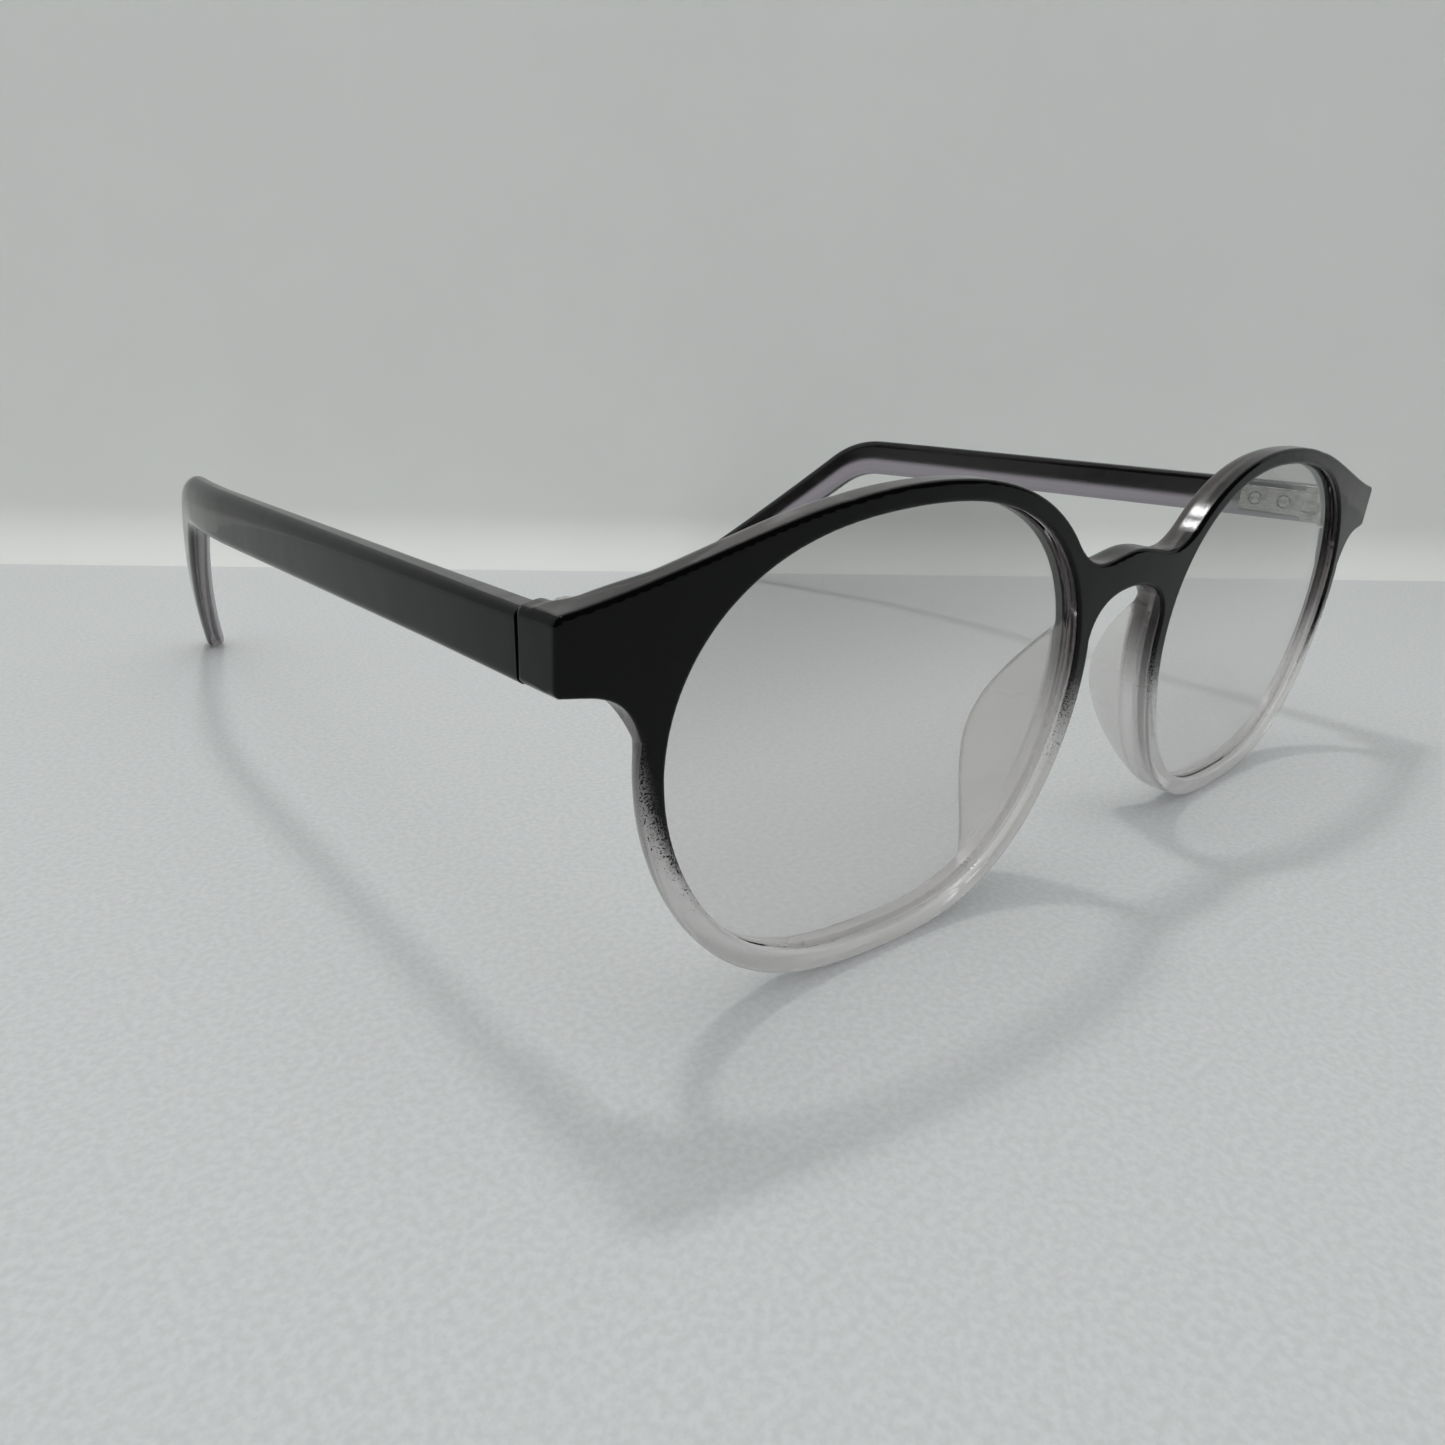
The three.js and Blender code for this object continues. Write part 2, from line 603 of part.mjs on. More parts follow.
place("front_frame", frontFrame(), MATERIALS.frame);
placePair("lens", wrap(lensDisc(0)), MATERIALS.lens);
placePair("temple", temple(), MATERIALS.frame);
placePair("hinge_front_leaf", frontLeaf(), MATERIALS.hinge);
placePair("hinge_temple_leaf", templeLeaf(), MATERIALS.hinge);
placePair("pivot_screw", pivotScrew(), MATERIALS.screw);
FRONT_SCREW_X.forEach((x, i) =>
  placePair("front_leaf_screw", inFrontLeaf(smallScrew(), x), MATERIALS.screw, `_${i + 1}`),
);
TEMPLE_SCREW_Y.forEach((y, i) =>
  placePair("temple_leaf_screw", inTempleLeaf(smallScrew(), y), MATERIALS.screw, `_${i + 1}`),
);

export default glasses;
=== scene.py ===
import json
import math

import bpy
import numpy as np
from mathutils import Matrix, Vector


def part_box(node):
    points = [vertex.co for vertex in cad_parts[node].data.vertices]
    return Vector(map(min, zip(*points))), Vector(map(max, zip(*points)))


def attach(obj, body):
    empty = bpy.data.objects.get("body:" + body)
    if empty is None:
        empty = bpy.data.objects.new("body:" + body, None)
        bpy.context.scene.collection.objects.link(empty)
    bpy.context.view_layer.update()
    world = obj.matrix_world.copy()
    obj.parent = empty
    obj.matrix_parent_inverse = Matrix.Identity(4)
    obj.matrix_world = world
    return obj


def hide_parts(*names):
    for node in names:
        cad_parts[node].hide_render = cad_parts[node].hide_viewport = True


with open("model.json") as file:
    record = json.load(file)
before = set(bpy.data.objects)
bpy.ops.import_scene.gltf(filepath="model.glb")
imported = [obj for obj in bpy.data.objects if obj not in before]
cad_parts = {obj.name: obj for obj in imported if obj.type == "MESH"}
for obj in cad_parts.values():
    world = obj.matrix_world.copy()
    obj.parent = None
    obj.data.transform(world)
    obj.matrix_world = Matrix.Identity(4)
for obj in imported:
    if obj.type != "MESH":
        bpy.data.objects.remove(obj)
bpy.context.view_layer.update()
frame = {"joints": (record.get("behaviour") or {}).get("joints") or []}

# Shapes are worked out in millimetres and become metres when their mesh is made.
# x runs to the wearer's left, y rearwards along the temples, and z up.
MM = 0.001

# ---- Driving dimensions ----
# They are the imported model's own, but for JOINT_GAP and the temples' corner roundings, which differ, and
# the details that only these shapes have: roundings, fillets, slopes, the temples' crown and the coat.
LENS_HALF_WIDTH = 25
LENS_HALF_HEIGHT = 20.6
LENS_GAP = 18.4  # between the two lens openings, across the nose
LENS_LOBES = [(2, 0.25, 0), (3, 0.2, 0.4), (4, -0.45, 0), (5, 0, 0.2)]  # lobes, cosine and sine amplitude
RIM_WIDTH = 2.1
RIM_WIDTH_CHANGE = 0.22
FRONT_THICKNESS = 3.7
FRONT_BEND_RADIUS = 800
FRONT_TILT = math.radians(-1.8)
SHOULDER_RISE = 0.22  # slope of the end piece's top edge
SHOULDER_ROUNDING = 0.75
INNER_SHOULDER_RISE = 0.5  # further slope from INNER_SHOULDER_START inwards
INNER_SHOULDER_START = 1.2
INNER_SHOULDER_ROUNDING = 1.3
RETURN_FILLET = 1.1
RETURN_ROOT_W = 2.4  # deep enough that the fillet leaves the front face flat
REAR_SLOPE = 1.25  # the rear side rises from the outer edge by this per millimetre
RETURN_EDGE_DEPTH = 3.4  # the outer edge is this deep round the return's middle
RETURN_EDGE_MIDDLE = (64.5, 33)
RETURN_EDGE_REACH = 8.6
RETURN_EDGE_BLEND = 5.5
RIM_EDGE_DEPTH = 2.0
RIM_EDGE_SIDE = 0.75  # this much less on a rim's outer side, and more on its nose side
RIM_EDGE_TOP = 0.45  # this much more at its top, and less at its bottom
RIM_EDGE_CORNER = 0.6  # and up to this much more between top and outer side, and opposite
REAR_ROUNDING = 0.7
RETURN_END_ROUNDING = 0.25
EDGE_ROUNDING = 0.35

END_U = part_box("front_frame")[1].x / MM
END_TOP = 37.0
END_BOTTOM = 31.45
END_CORNER = 0.3
END_LEAN = 0.05
END_INNER_U = 65
END_DROP = 0.07  # the return falls by this per millimetre rearwards
END_DROP_START = 60  # beginning here, and in full at END_INNER_U
END_FRONT_W = 0.8  # the drop is measured from this depth
JOINT_Y = 6.9
JOINT_GAP = 0.16

BRIDGE_TOP = 35.35
BRIDGE_BOTTOM = 31.4
NOTCH_ANGLE = 146
SHOULDER_ANGLE = 67
UNDERARM_ANGLE = 9
ARCH_ANGLE = -189
# Control points of the outline's free curves.
BRIDGE_TOP_CONTROLS = (4.2, BRIDGE_TOP), (7.6, 32.6)
SHOULDER_CONTROLS = (48.6, 42.4), (60.2, 38.2)
UNDERARM_START = (65, 31.05)
UNDERARM_CONTROLS = (62.6, 30.6), (61.5, 29.4)
ARCH_CONTROLS = (6.9, 29.6), (4.6, BRIDGE_BOTTOM)

LENS_BEND_RADIUS = 400
LENS_CENTRE_DEPTH = 0.9
LENS_THICKNESS = 1.2
BEVEL_HEIGHT = 0.75
BEVEL_SHOULDER = 0.1
GROOVE_CLEARANCE = 0.25

PAD_TOP_ANGLE = math.radians(166.4)
PAD_BOTTOM_ANGLE = math.radians(235)
PAD_DEPTH = 6.5
PAD_SKEW = 0.83
PAD_TAPER = 1.09
PAD_SPLAY = 0.52
PAD_ROOT_THICKNESS = 1.6
PAD_EDGE_THICKNESS = 1.3
PAD_ROOT_DEPTH = 0.7
PAD_ROOT_FLARE = 0.4
PAD_ROUNDING = 0.55
PAD_FILLET = 0.9

TEMPLE_TOP_Z = 36.65
TEMPLE_STRAIGHT = 86
TEMPLE_BEND_RADIUS = 20
TEMPLE_BEND = math.radians(36)
TEMPLE_TAIL = 44.7
BEND_LENGTH = TEMPLE_BEND_RADIUS * TEMPLE_BEND
TEMPLE_LENGTH = TEMPLE_STRAIGHT + BEND_LENGTH + TEMPLE_TAIL
TEMPLE_DROP = math.radians(1.25)
TEMPLE_INWARD = 11
TEMPLE_INWARD_START = 70
TEMPLE_INWARD_POWER = 1.7
TIP_ROUNDING = 3
CROWN_START = 0.4  # height of the crowned band along the outer face's top edge, at the joint
CROWN_END = 3.2  # and at the bend
CROWN_LEAN = 0.24  # how far the band leans in, per millimetre of its height
# Distance along the temple, then the section's height, thickness and corner rounding there.
TEMPLE_SECTIONS = [
    (0, 5.5, 2.8, 0.7),
    (14, 5.6, 2.8, 0.85),
    (TEMPLE_STRAIGHT, 6.6, 2.8, 1.2),
    (TEMPLE_LENGTH, 6.0, 2.8, 1.35),
]

HINGE = Vector(frame["joints"][0]["pos_m"]) / MM
HINGE_X = abs(HINGE.x)
HINGE_Y = 8.2  # behind the front's face, where every other y is measured from
HINGE_Z = HINGE.z
ORIGIN_Y = HINGE_Y - HINGE.y
BARREL_RADIUS = 1.2
BARREL_HEIGHT = 1.2
BARREL_GAP = 0.15
PIVOT_HOLE_RADIUS = 0.65
PIVOT_RADIUS = 0.55
PIVOT_HEAD_RADIUS = 1.0
PIVOT_HEAD_HEIGHT = 0.5
PIVOT_HEAD_GAP = 0.1
PIVOT_HEAD_ROUNDING = 0.14
PIVOT_SHANK_ROUNDING = 0.06
PIVOT_SHANK_SINK = 0.2
LEAF_THICKNESS = 0.8
LEAF_HEIGHT = 3.6
LEAF_PLANE_X = 64.2
NECK_HALF_WIDTH = 0.9
NECK_OVERLAP = 0.3
TEMPLE_LEAF_LEAD = 0.7
SEAT_CLEARANCE = 0.25
FRONT_LEAF_Y = 4.35
FRONT_LEAF_INNER_X = 57.3
TEMPLE_LEAF_END_Y = 19
SCREW_RADIUS = 0.45
SCREW_HEAD_RADIUS = 0.85
SCREW_HEAD_HEIGHT = 0.45
SCREW_HEAD_LIP = 0.12  # the head's rim, above its cone
SCREW_HEAD_CHAMFER = 0.05
CONE_SCALE = 0.6  # brings the cone's measure near to a true distance
MOUTH_DEPTH = 0.05
SCREW_LENGTH = 1.9
SCREW_CLEARANCE = 0.12
SCREW_SINK = 0.05
SLOT_HALF_WIDTH = 0.13
SLOT_DEPTH = 0.22
FRONT_SCREW_X = [58.6, 61.3]
TEMPLE_SCREW_Y = [12.6, 16.8]
METAL_ROUNDING = 0.1
METAL_FILLET = 0.15

COAT_RUN_OUT = 8.5  # the coat ends this much higher on a rim's outer edge than beside the lens
COAT_NOSE_RISE = 5.0  # and this much higher beside the nose than under the lens

FRONT_CELL = 0.26
FRONT_GRID = (0, -0.6, -0.6), (END_U + 0.6, FRONT_THICKNESS + PAD_DEPTH + 0.8, 45.2)
METAL_CELL = 0.085
SCREW_CELL = 0.06
SHARP_ANGLE = math.radians(30)


def link(name, data):
    obj = bpy.data.objects.new(name, data)
    bpy.context.scene.collection.objects.link(obj)
    return obj


# ---- Camera: at the photograph's viewing angle, close to the near temple's joint ----
CAMERA_PLACE = (-0.10058, -0.12225, 0.05432)
CAMERA_TURN = [math.radians(angle) for angle in (40.64, 20.66, 2.15)]  # yaw, pitch, roll
SENSOR_WIDTH = 36
FOCAL_LENGTH = 25.67


def make_camera():
    yaw, pitch, roll = CAMERA_TURN
    ahead = Vector((math.sin(yaw) * math.cos(pitch), math.cos(yaw) * math.cos(pitch), -math.sin(pitch)))
    level = Vector((math.cos(yaw), -math.sin(yaw), 0))
    above = level.cross(ahead)
    right = level * math.cos(roll) + above * math.sin(roll)
    up = above * math.cos(roll) - level * math.sin(roll)
    data = bpy.data.cameras.new("camera")
    data.sensor_width = SENSOR_WIDTH
    data.lens = FOCAL_LENGTH
    data.clip_start = 0.01
    camera = link("camera", data)
    turn = Matrix((right, up, -ahead)).transposed().to_4x4()
    camera.matrix_world = Matrix.Translation(CAMERA_PLACE) @ turn
    bpy.context.scene.camera = camera


# ---- Distance fields: each gives how far points are outside a shape, in millimetres, negative inside ----
def rounded_both(a, b, radius):
    """What two shapes share, with its edge rounded."""
    corner = np.hypot(np.maximum(a + radius, 0), np.maximum(b + radius, 0))
    return np.minimum(np.maximum(a, b), -radius) + corner


def filleted_either(a, b, radius):
    """Two shapes joined, with a fillet in the corner between them."""
    corner = np.hypot(np.maximum(radius - a, 0), np.maximum(radius - b, 0))
    return np.maximum(np.minimum(a, b), radius) - corner


def box_distance(points, low, high, rounding=0.0):
    middle = (np.array(high) + np.array(low)) / 2
    half = (np.array(high) - np.array(low)) / 2 - rounding
    beyond = np.abs(points - middle) - half
    outside = np.linalg.norm(np.maximum(beyond, 0), axis=-1)
    return outside + np.minimum(beyond.max(axis=-1), 0) - rounding


def rod_distance(points, axis, centre, radius, low, high, rounding=0.0):
    """A cylinder along one axis; centre is its place on the other two, in their own order."""
    others = [k for k in range(3) if k != axis]
    around = np.hypot(points[..., others[0]] - centre[0], points[..., others[1]] - centre[1]) - radius
    along = np.abs(points[..., axis] - (low + high) / 2) - (high - low) / 2
    if rounding:
        return rounded_both(around, along, rounding)
    return np.maximum(around, along)


def without(shape, *cutters):
    for cutter in cutters:
        shape = np.maximum(shape, -cutter)
    return shape


SLOPE_STEP = 0.02
BLOCK = 4  # cells along a coarse block's side
NEAR_BLOCKS = 1.6


def slopes(distance, points):
    columns = []
    for axis in range(3):
        shift = np.zeros(3)
        shift[axis] = SLOPE_STEP
        columns.append((distance(points + shift) - distance(points - shift)) / (2 * SLOPE_STEP))
    return np.stack(columns, axis=-1)


def sampled(distance, axes, cell):
    """The distance at every grid point, exact near the skin and filled in roughly elsewhere."""
    centres = [a[::BLOCK] + cell * (BLOCK - 1) / 2 for a in axes]
    coarse = distance(np.stack(np.meshgrid(*centres, indexing="ij"), axis=-1).reshape(-1, 3))
    coarse = coarse.reshape([len(c) for c in centres])
    for axis in range(3):
        coarse = coarse.repeat(BLOCK, axis=axis)
    values = coarse[tuple(slice(0, len(a)) for a in axes)].copy()
    near = np.abs(values) < cell * BLOCK * NEAR_BLOCKS
    spots = np.argwhere(near)
    points = np.stack([axes[k][spots[:, k]] for k in range(3)], axis=-1)
    values[near] = distance(points)
    return values


CORNERS = list(np.ndindex(2, 2, 2))
CUBE_EDGES = [(np.array(start), axis) for axis in range(3) for start in CORNERS if start[axis] == 0]
SETTLING_STEPS = 4


def skin_mesh(distance, low, high, cell, half=False):
    """Vertices, quads and normals of a shape's skin. A half starts at x = 0, where its vertices stay."""
    low = np.array(low, float)
    if half:
        low[0] = -cell / 2
    axes = [np.arange(low[k], high[k] + cell, cell) for k in range(3)]
    values = sampled(distance, axes, cell)
    inside = values < 0
    shape = np.array(inside.shape)
    corners = [inside[tuple(slice(c[k], shape[k] - 1 + c[k]) for k in range(3))] for c in CORNERS]
    total = sum(c.astype(np.int8) for c in corners)
    cells = np.argwhere((total > 0) & (total < 8))
    number = np.full(shape - 1, -1)
    number[tuple(cells.T)] = np.arange(len(cells))
    places = np.zeros((len(cells), 3))
    hits = np.zeros(len(cells))
    for start, axis in CUBE_EDGES:
        first = cells + start
        second = first.copy()
        second[:, axis] += 1
        a, b = values[tuple(first.T)], values[tuple(second.T)]
        crossing = (a < 0) != (b < 0)
        place = np.tile(start.astype(float), (len(cells), 1))
        place[:, axis] += np.where(crossing, a / np.where(crossing, a - b, 1), 0)
        places[crossing] += place[crossing]
        hits += crossing
    points = low + cell * (cells + places / hits[:, None])
    quads = [net_quads(inside, number, axis, half) for axis in range(3)]
    held = np.abs(points[:, 0]) < cell / 2 if half else np.zeros(len(points), bool)
    held &= cells[:, 0] == 0
    for _ in range(SETTLING_STEPS):
        points[held, 0] = 0
        value, slope = distance(points), slopes(distance, points)
        step = value / np.maximum((slope**2).sum(1), 0.25)
        points -= np.clip(step, -cell / 2, cell / 2)[:, None] * slope
    points[held, 0] = 0
    slope = slopes(distance, points)
    slope[held, 0] = 0
    return points, np.concatenate(quads), unit(slope)


def net_quads(inside, number, axis, half):
    """One quad round each grid edge along an axis that crosses the skin, turned to face out."""
    p, q = (axis + 1) % 3, (axis + 2) % 3
    a, b = np.delete(inside, -1, axis), np.delete(inside, 0, axis)
    spots = np.argwhere(a != b)
    if half:
        spots = spots[(spots[:, 0] >= 1) | (axis == 0)]
    around = []
    for dp, dq in ((-1, -1), (0, -1), (0, 0), (-1, 0)):
        cell = spots.copy()
        cell[:, p] += dp
        cell[:, q] += dq
        around.append(number[tuple(cell.T)])
    quads = np.stack(around, axis=1)
    outwards = a[tuple(spots.T)]
    return np.where(outwards[:, None], quads, quads[:, ::-1])


def unit(vectors):
    return vectors / np.maximum(np.linalg.norm(vectors, axis=-1, keepdims=True), 1e-9)


# ---- Meshes ----
def add_object(name, points, faces):
    """An object from points in millimetres, in the row frame."""
    mesh = bpy.data.meshes.new(name)
    mesh.from_pydata((points * MM).tolist(), [], faces)
    return link(name, mesh)


def add_layers(mesh, layers):
    """Named values, one for each vertex."""
    for name, values in layers.items():
        layer = mesh.attributes.new(name, "FLOAT", "POINT")
        layer.data.foreach_set("value", values.astype(np.float32))


def smooth_faces(mesh):
    mesh.polygons.foreach_set("use_smooth", np.ones(len(mesh.polygons), bool))


def make_mesh(name, points, faces, normals=None):
    """A smooth object, with custom normals if given."""
    obj = add_object(name, points, faces.tolist())
    smooth_faces(obj.data)
    if normals is not None:
        obj.data.normals_split_custom_set_from_vertices(normals.tolist())
    obj.data.update()
    return obj


def to_row(points):
    """From y measured behind the front's face to the row frame."""
    return points - np.array([0, ORIGIN_Y, 0])


MIRROR = np.array([-1, 1, 1])
SIDES = (("left", 1), ("right", -1))


# ---- The front's outline, drawn flat: u from the middle outwards, v up ----
def lens_radius(angle):
    ellipse = 1 / np.hypot(np.cos(angle) / LENS_HALF_WIDTH, np.sin(angle) / LENS_HALF_HEIGHT)
    return ellipse + sum(c * np.cos(n * angle) + s * np.sin(n * angle) for n, c, s in LENS_LOBES)


def rim_width(angle):
    return RIM_WIDTH - RIM_WIDTH_CHANGE * np.sin(angle)


LENS_U = LENS_GAP / 2 + lens_radius(math.pi)
LENS_V = lens_radius(-math.pi / 2) + rim_width(-math.pi / 2)


def around_lens(angle, beyond):
    radius = lens_radius(angle) + beyond
    return np.stack([LENS_U + radius * np.cos(angle), LENS_V + radius * np.sin(angle)], axis=-1)


def rim_point(degrees):
    angle = np.radians(degrees)
    return around_lens(angle, rim_width(angle))


def rim_arc(start, end):
    return rim_point(np.linspace(start, end, abs(end - start) + 1))


CURVE_POINTS = 32


def bezier(a, controls, d):
    t = np.linspace(0, 1, CURVE_POINTS)[:, None]
    a, b, c, d = (np.array(p, float) for p in (a, *controls, d))
    return (1 - t) ** 3 * a + 3 * (1 - t) ** 2 * t * b + 3 * (1 - t) * t**2 * c + t**3 * d


def half_outline():
    side = [(END_U, END_TOP - END_CORNER), (END_U, END_BOTTOM + END_CORNER)]
    side_top = (END_U - END_CORNER, END_TOP + END_LEAN)
    side_bottom = (END_U - END_CORNER, END_BOTTOM - END_LEAN)
    return np.concatenate([
        bezier((0, BRIDGE_TOP), BRIDGE_TOP_CONTROLS, rim_point(NOTCH_ANGLE)),
        rim_arc(NOTCH_ANGLE, SHOULDER_ANGLE)[1:],
        bezier(rim_point(SHOULDER_ANGLE), SHOULDER_CONTROLS, side_top)[1:],
        np.array([*side, side_bottom]),
        bezier(UNDERARM_START, UNDERARM_CONTROLS, rim_point(UNDERARM_ANGLE)),
        rim_arc(UNDERARM_ANGLE, ARCH_ANGLE)[1:],
        bezier(rim_point(ARCH_ANGLE), ARCH_CONTROLS, (0, BRIDGE_BOTTOM))[1:],
    ])


def line_distance(points, line):
    """Signed distance to the half outline, which closes on itself across u = 0."""
    nearest = np.full(len(points), np.inf)
    crossings = np.zeros(len(points), int)
    for start, end in zip(line[:-1], line[1:]):
        run = end - start
        offset = points - start
        share = np.clip(offset @ run / (run @ run), 0, 1)
        nearest = np.minimum(nearest, ((offset - share[:, None] * run) ** 2).sum(1))
        if run[1]:
            spans = (start[1] > points[:, 1]) != (end[1] > points[:, 1])
            crossings += spans & (offset[:, 0] < offset[:, 1] * run[0] / run[1])
    return np.where(crossings % 2, -1, 1) * np.sqrt(nearest)


class SmoothGrid:
    """A function of (u, v) kept on a grid and read between its points by cubic interpolation."""

    def __init__(self, function, low, high, step):
        self.low, self.step = np.array(low), step
        axes = [np.arange(low[k], high[k] + step, step) for k in range(2)]
        spots = np.stack(np.meshgrid(*axes, indexing="ij"), axis=-1)
        self.values = function(spots.reshape(-1, 2)).reshape(spots.shape[:2])

    def weights(self, t):
        return (
            (-t + 2 * t**2 - t**3) / 2,
            (2 - 5 * t**2 + 3 * t**3) / 2,
            (t + 4 * t**2 - 3 * t**3) / 2,
            (t**3 - t**2) / 2,
        )

    def __call__(self, u, v):
        x, y = (u - self.low[0]) / self.step, (v - self.low[1]) / self.step
        i = np.clip(np.floor(x).astype(int), 1, self.values.shape[0] - 3)
        j = np.clip(np.floor(y).astype(int), 1, self.values.shape[1] - 3)
        across, up = self.weights(x - i), self.weights(y - j)
        near = [across[a] * up[b] * self.values[i + a - 1, j + b - 1] for a, b in np.ndindex(4, 4)]
        return sum(near)


def outline_distance(points):
    return line_distance(np.stack([np.abs(points[:, 0]), points[:, 1]], axis=-1), half_outline())


OUTLINE_GRID = (-1, -2), (70, 47), 0.2  # its lowest and highest (u, v) and its step
outline = SmoothGrid(outline_distance, *OUTLINE_GRID)


ANGLE_STEP = 0.01


def rate(function, angle):
    return (function(angle + ANGLE_STEP) - function(angle - ANGLE_STEP)) / (2 * ANGLE_STEP)


def from_lens(u, v):
    """Angle round the lens, radius, and distance outside its opening."""
    angle = np.mod(np.arctan2(v - LENS_V, u - LENS_U), 2 * math.pi)
    radius = np.hypot(u - LENS_U, v - LENS_V)
    edge = lens_radius(angle)
    lean = rate(lens_radius, angle) / edge
    return angle, radius, (radius - edge) / np.hypot(1, lean)


def tilt(u, depth, v):
    y = depth * math.cos(FRONT_TILT) + v * math.sin(FRONT_TILT)
    z = v * math.cos(FRONT_TILT) - depth * math.sin(FRONT_TILT)
    return np.stack([u, y, z], axis=-1)


def wrap(points):
    """Bends and tilts points drawn flat into their place on the glasses."""
    u, w, v = points[..., 0], points[..., 1], points[..., 2]
    return tilt(u, w + u**2 / (2 * FRONT_BEND_RADIUS), v)


def lens_depth(u, v):
    return LENS_CENTRE_DEPTH + ((u - LENS_U) ** 2 + (v - LENS_V) ** 2) / (2 * LENS_BEND_RADIUS)


def groove_distance(u, w, v, beyond):
    """The V-shaped groove round the opening that the lens's ridge sits in."""
    off_middle = np.abs(w - lens_depth(u, v))
    half = LENS_THICKNESS / 2 + GROOVE_CLEARANCE
    shoulder = BEVEL_SHOULDER + GROOVE_CLEARANCE
    ridge = BEVEL_HEIGHT - BEVEL_SHOULDER
    slope = (off_middle * ridge + (beyond - shoulder) * half - half * ridge) / math.hypot(half, ridge)
    return np.maximum(off_middle - half, slope)


def pad_reach(angle):
    """How far back a nose pad's edge stands, round the lens."""
    share = np.clip((angle - PAD_TOP_ANGLE) / (PAD_BOTTOM_ANGLE - PAD_TOP_ANGLE), 0, 1)
    past_ends = np.maximum(PAD_TOP_ANGLE - angle, 0) + np.maximum(angle - PAD_BOTTOM_ANGLE, 0)
    swell = np.maximum(np.sin(math.pi * share**PAD_SKEW), 0) ** PAD_TAPER
    return PAD_DEPTH * swell - PAD_ROOT_DEPTH / 2 - past_ends * LENS_HALF_WIDTH


def pad_distance(angle, radius, w):
    back = w - FRONT_THICKNESS
    reach = pad_reach(angle)
    rise = np.clip((back + PAD_ROOT_DEPTH) / (reach + PAD_ROOT_DEPTH), 0, 1)
    across = radius - lens_radius(angle) - rim_width(angle) + PAD_SPLAY * np.maximum(back, 0)
    thickness = PAD_ROOT_THICKNESS + (PAD_EDGE_THICKNESS - PAD_ROOT_THICKNESS) * rise
    flare = PAD_ROOT_FLARE * (1 - rise) ** 2
    wall = np.maximum(across + flare, -across - thickness) / math.hypot(1, PAD_SPLAY)
    steep = rate(pad_reach, angle) / radius
    pad = rounded_both(wall, (back - reach) / np.hypot(1, steep), PAD_ROUNDING)
    return np.maximum(pad, -back - PAD_ROOT_DEPTH)


LEAF_BOTTOM = HINGE_Z - LEAF_HEIGHT / 2
LEAF_TOP = HINGE_Z + LEAF_HEIGHT / 2
FRONT_LEAF_REAR = FRONT_LEAF_Y + LEAF_THICKNESS
TEMPLE_LEAF_X = LEAF_PLANE_X + LEAF_THICKNESS
HOLE_RADIUS = SCREW_RADIUS + SCREW_CLEARANCE


def smooth_step(share):
    share = np.clip(share, 0, 1)
    return share**2 * (3 - 2 * share)


def edge_depth(angle, u, v):
    """How deep the front's outer edge is, before its rear side slopes in."""
    rim = RIM_EDGE_DEPTH - RIM_EDGE_SIDE * np.cos(angle) + RIM_EDGE_TOP * np.sin(angle)
    rim = rim + RIM_EDGE_CORNER * np.maximum(np.sin(2 * angle), 0)
    away = np.hypot(u - RETURN_EDGE_MIDDLE[0], v - RETURN_EDGE_MIDDLE[1])
    near_return = smooth_step((RETURN_EDGE_REACH - away) / RETURN_EDGE_BLEND)
    return rim + (RETURN_EDGE_DEPTH - rim) * near_return


def front_distance(flat):
    """The moulded front, drawn flat: rims, bridge, end pieces with their returns, and nose pads."""
    u, w, v = np.abs(flat[..., 0]), flat[..., 1], flat[..., 2]
    angle, radius, beyond = from_lens(u, v)
    placed = wrap(np.stack([u, w, v], axis=-1))
    out_here = smooth_step((u - END_DROP_START) / (END_INNER_U - END_DROP_START))
    fallen = v + END_DROP * np.maximum(w - END_FRONT_W, 0) * out_here
    above = fallen - END_TOP - SHOULDER_RISE * (END_U - u)
    further_in = np.maximum(END_U - INNER_SHOULDER_START - u, 0)
    shoulder = rounded_both(u - END_U, above - INNER_SHOULDER_RISE * further_in, SHOULDER_ROUNDING)
    inside = -np.maximum(outline(u, fallen), shoulder)
    slope = (w - edge_depth(angle, u, v) - REAR_SLOPE * inside) / math.hypot(1, REAR_SLOPE)
    plate = np.maximum(-w, rounded_both(w - FRONT_THICKNESS, slope, REAR_ROUNDING))
    block = rounded_both(END_INNER_U - u, placed[..., 1] - JOINT_Y, RETURN_END_ROUNDING)
    block = np.maximum(block, rounded_both(END_INNER_U - u, above, INNER_SHOULDER_ROUNDING))
    block = np.maximum(block, RETURN_ROOT_W - w)
    depth = filleted_either(plate, block, RETURN_FILLET)
    body = rounded_both(np.maximum(-inside, -beyond), depth, EDGE_ROUNDING)
    body = filleted_either(body, pad_distance(angle, radius, w), PAD_FILLET)
    opening = np.maximum(beyond, w - FRONT_THICKNESS - 0.1)
    seat_low = np.array((FRONT_LEAF_INNER_X, FRONT_LEAF_Y, LEAF_BOTTOM)) - SEAT_CLEARANCE
    seat_high = (LEAF_PLANE_X - 0.05, JOINT_Y + 1, LEAF_TOP + SEAT_CLEARANCE)
    seat = box_distance(placed, seat_low, seat_high)
    hole_end = FRONT_LEAF_REAR - SCREW_SINK - SCREW_LENGTH - SCREW_CLEARANCE
    holes = [rod_distance(placed, 1, (x, HINGE_Z), HOLE_RADIUS, hole_end, JOINT_Y) for x in FRONT_SCREW_X]
    return without(body, opening, groove_distance(u, w, v, beyond), seat, *holes)


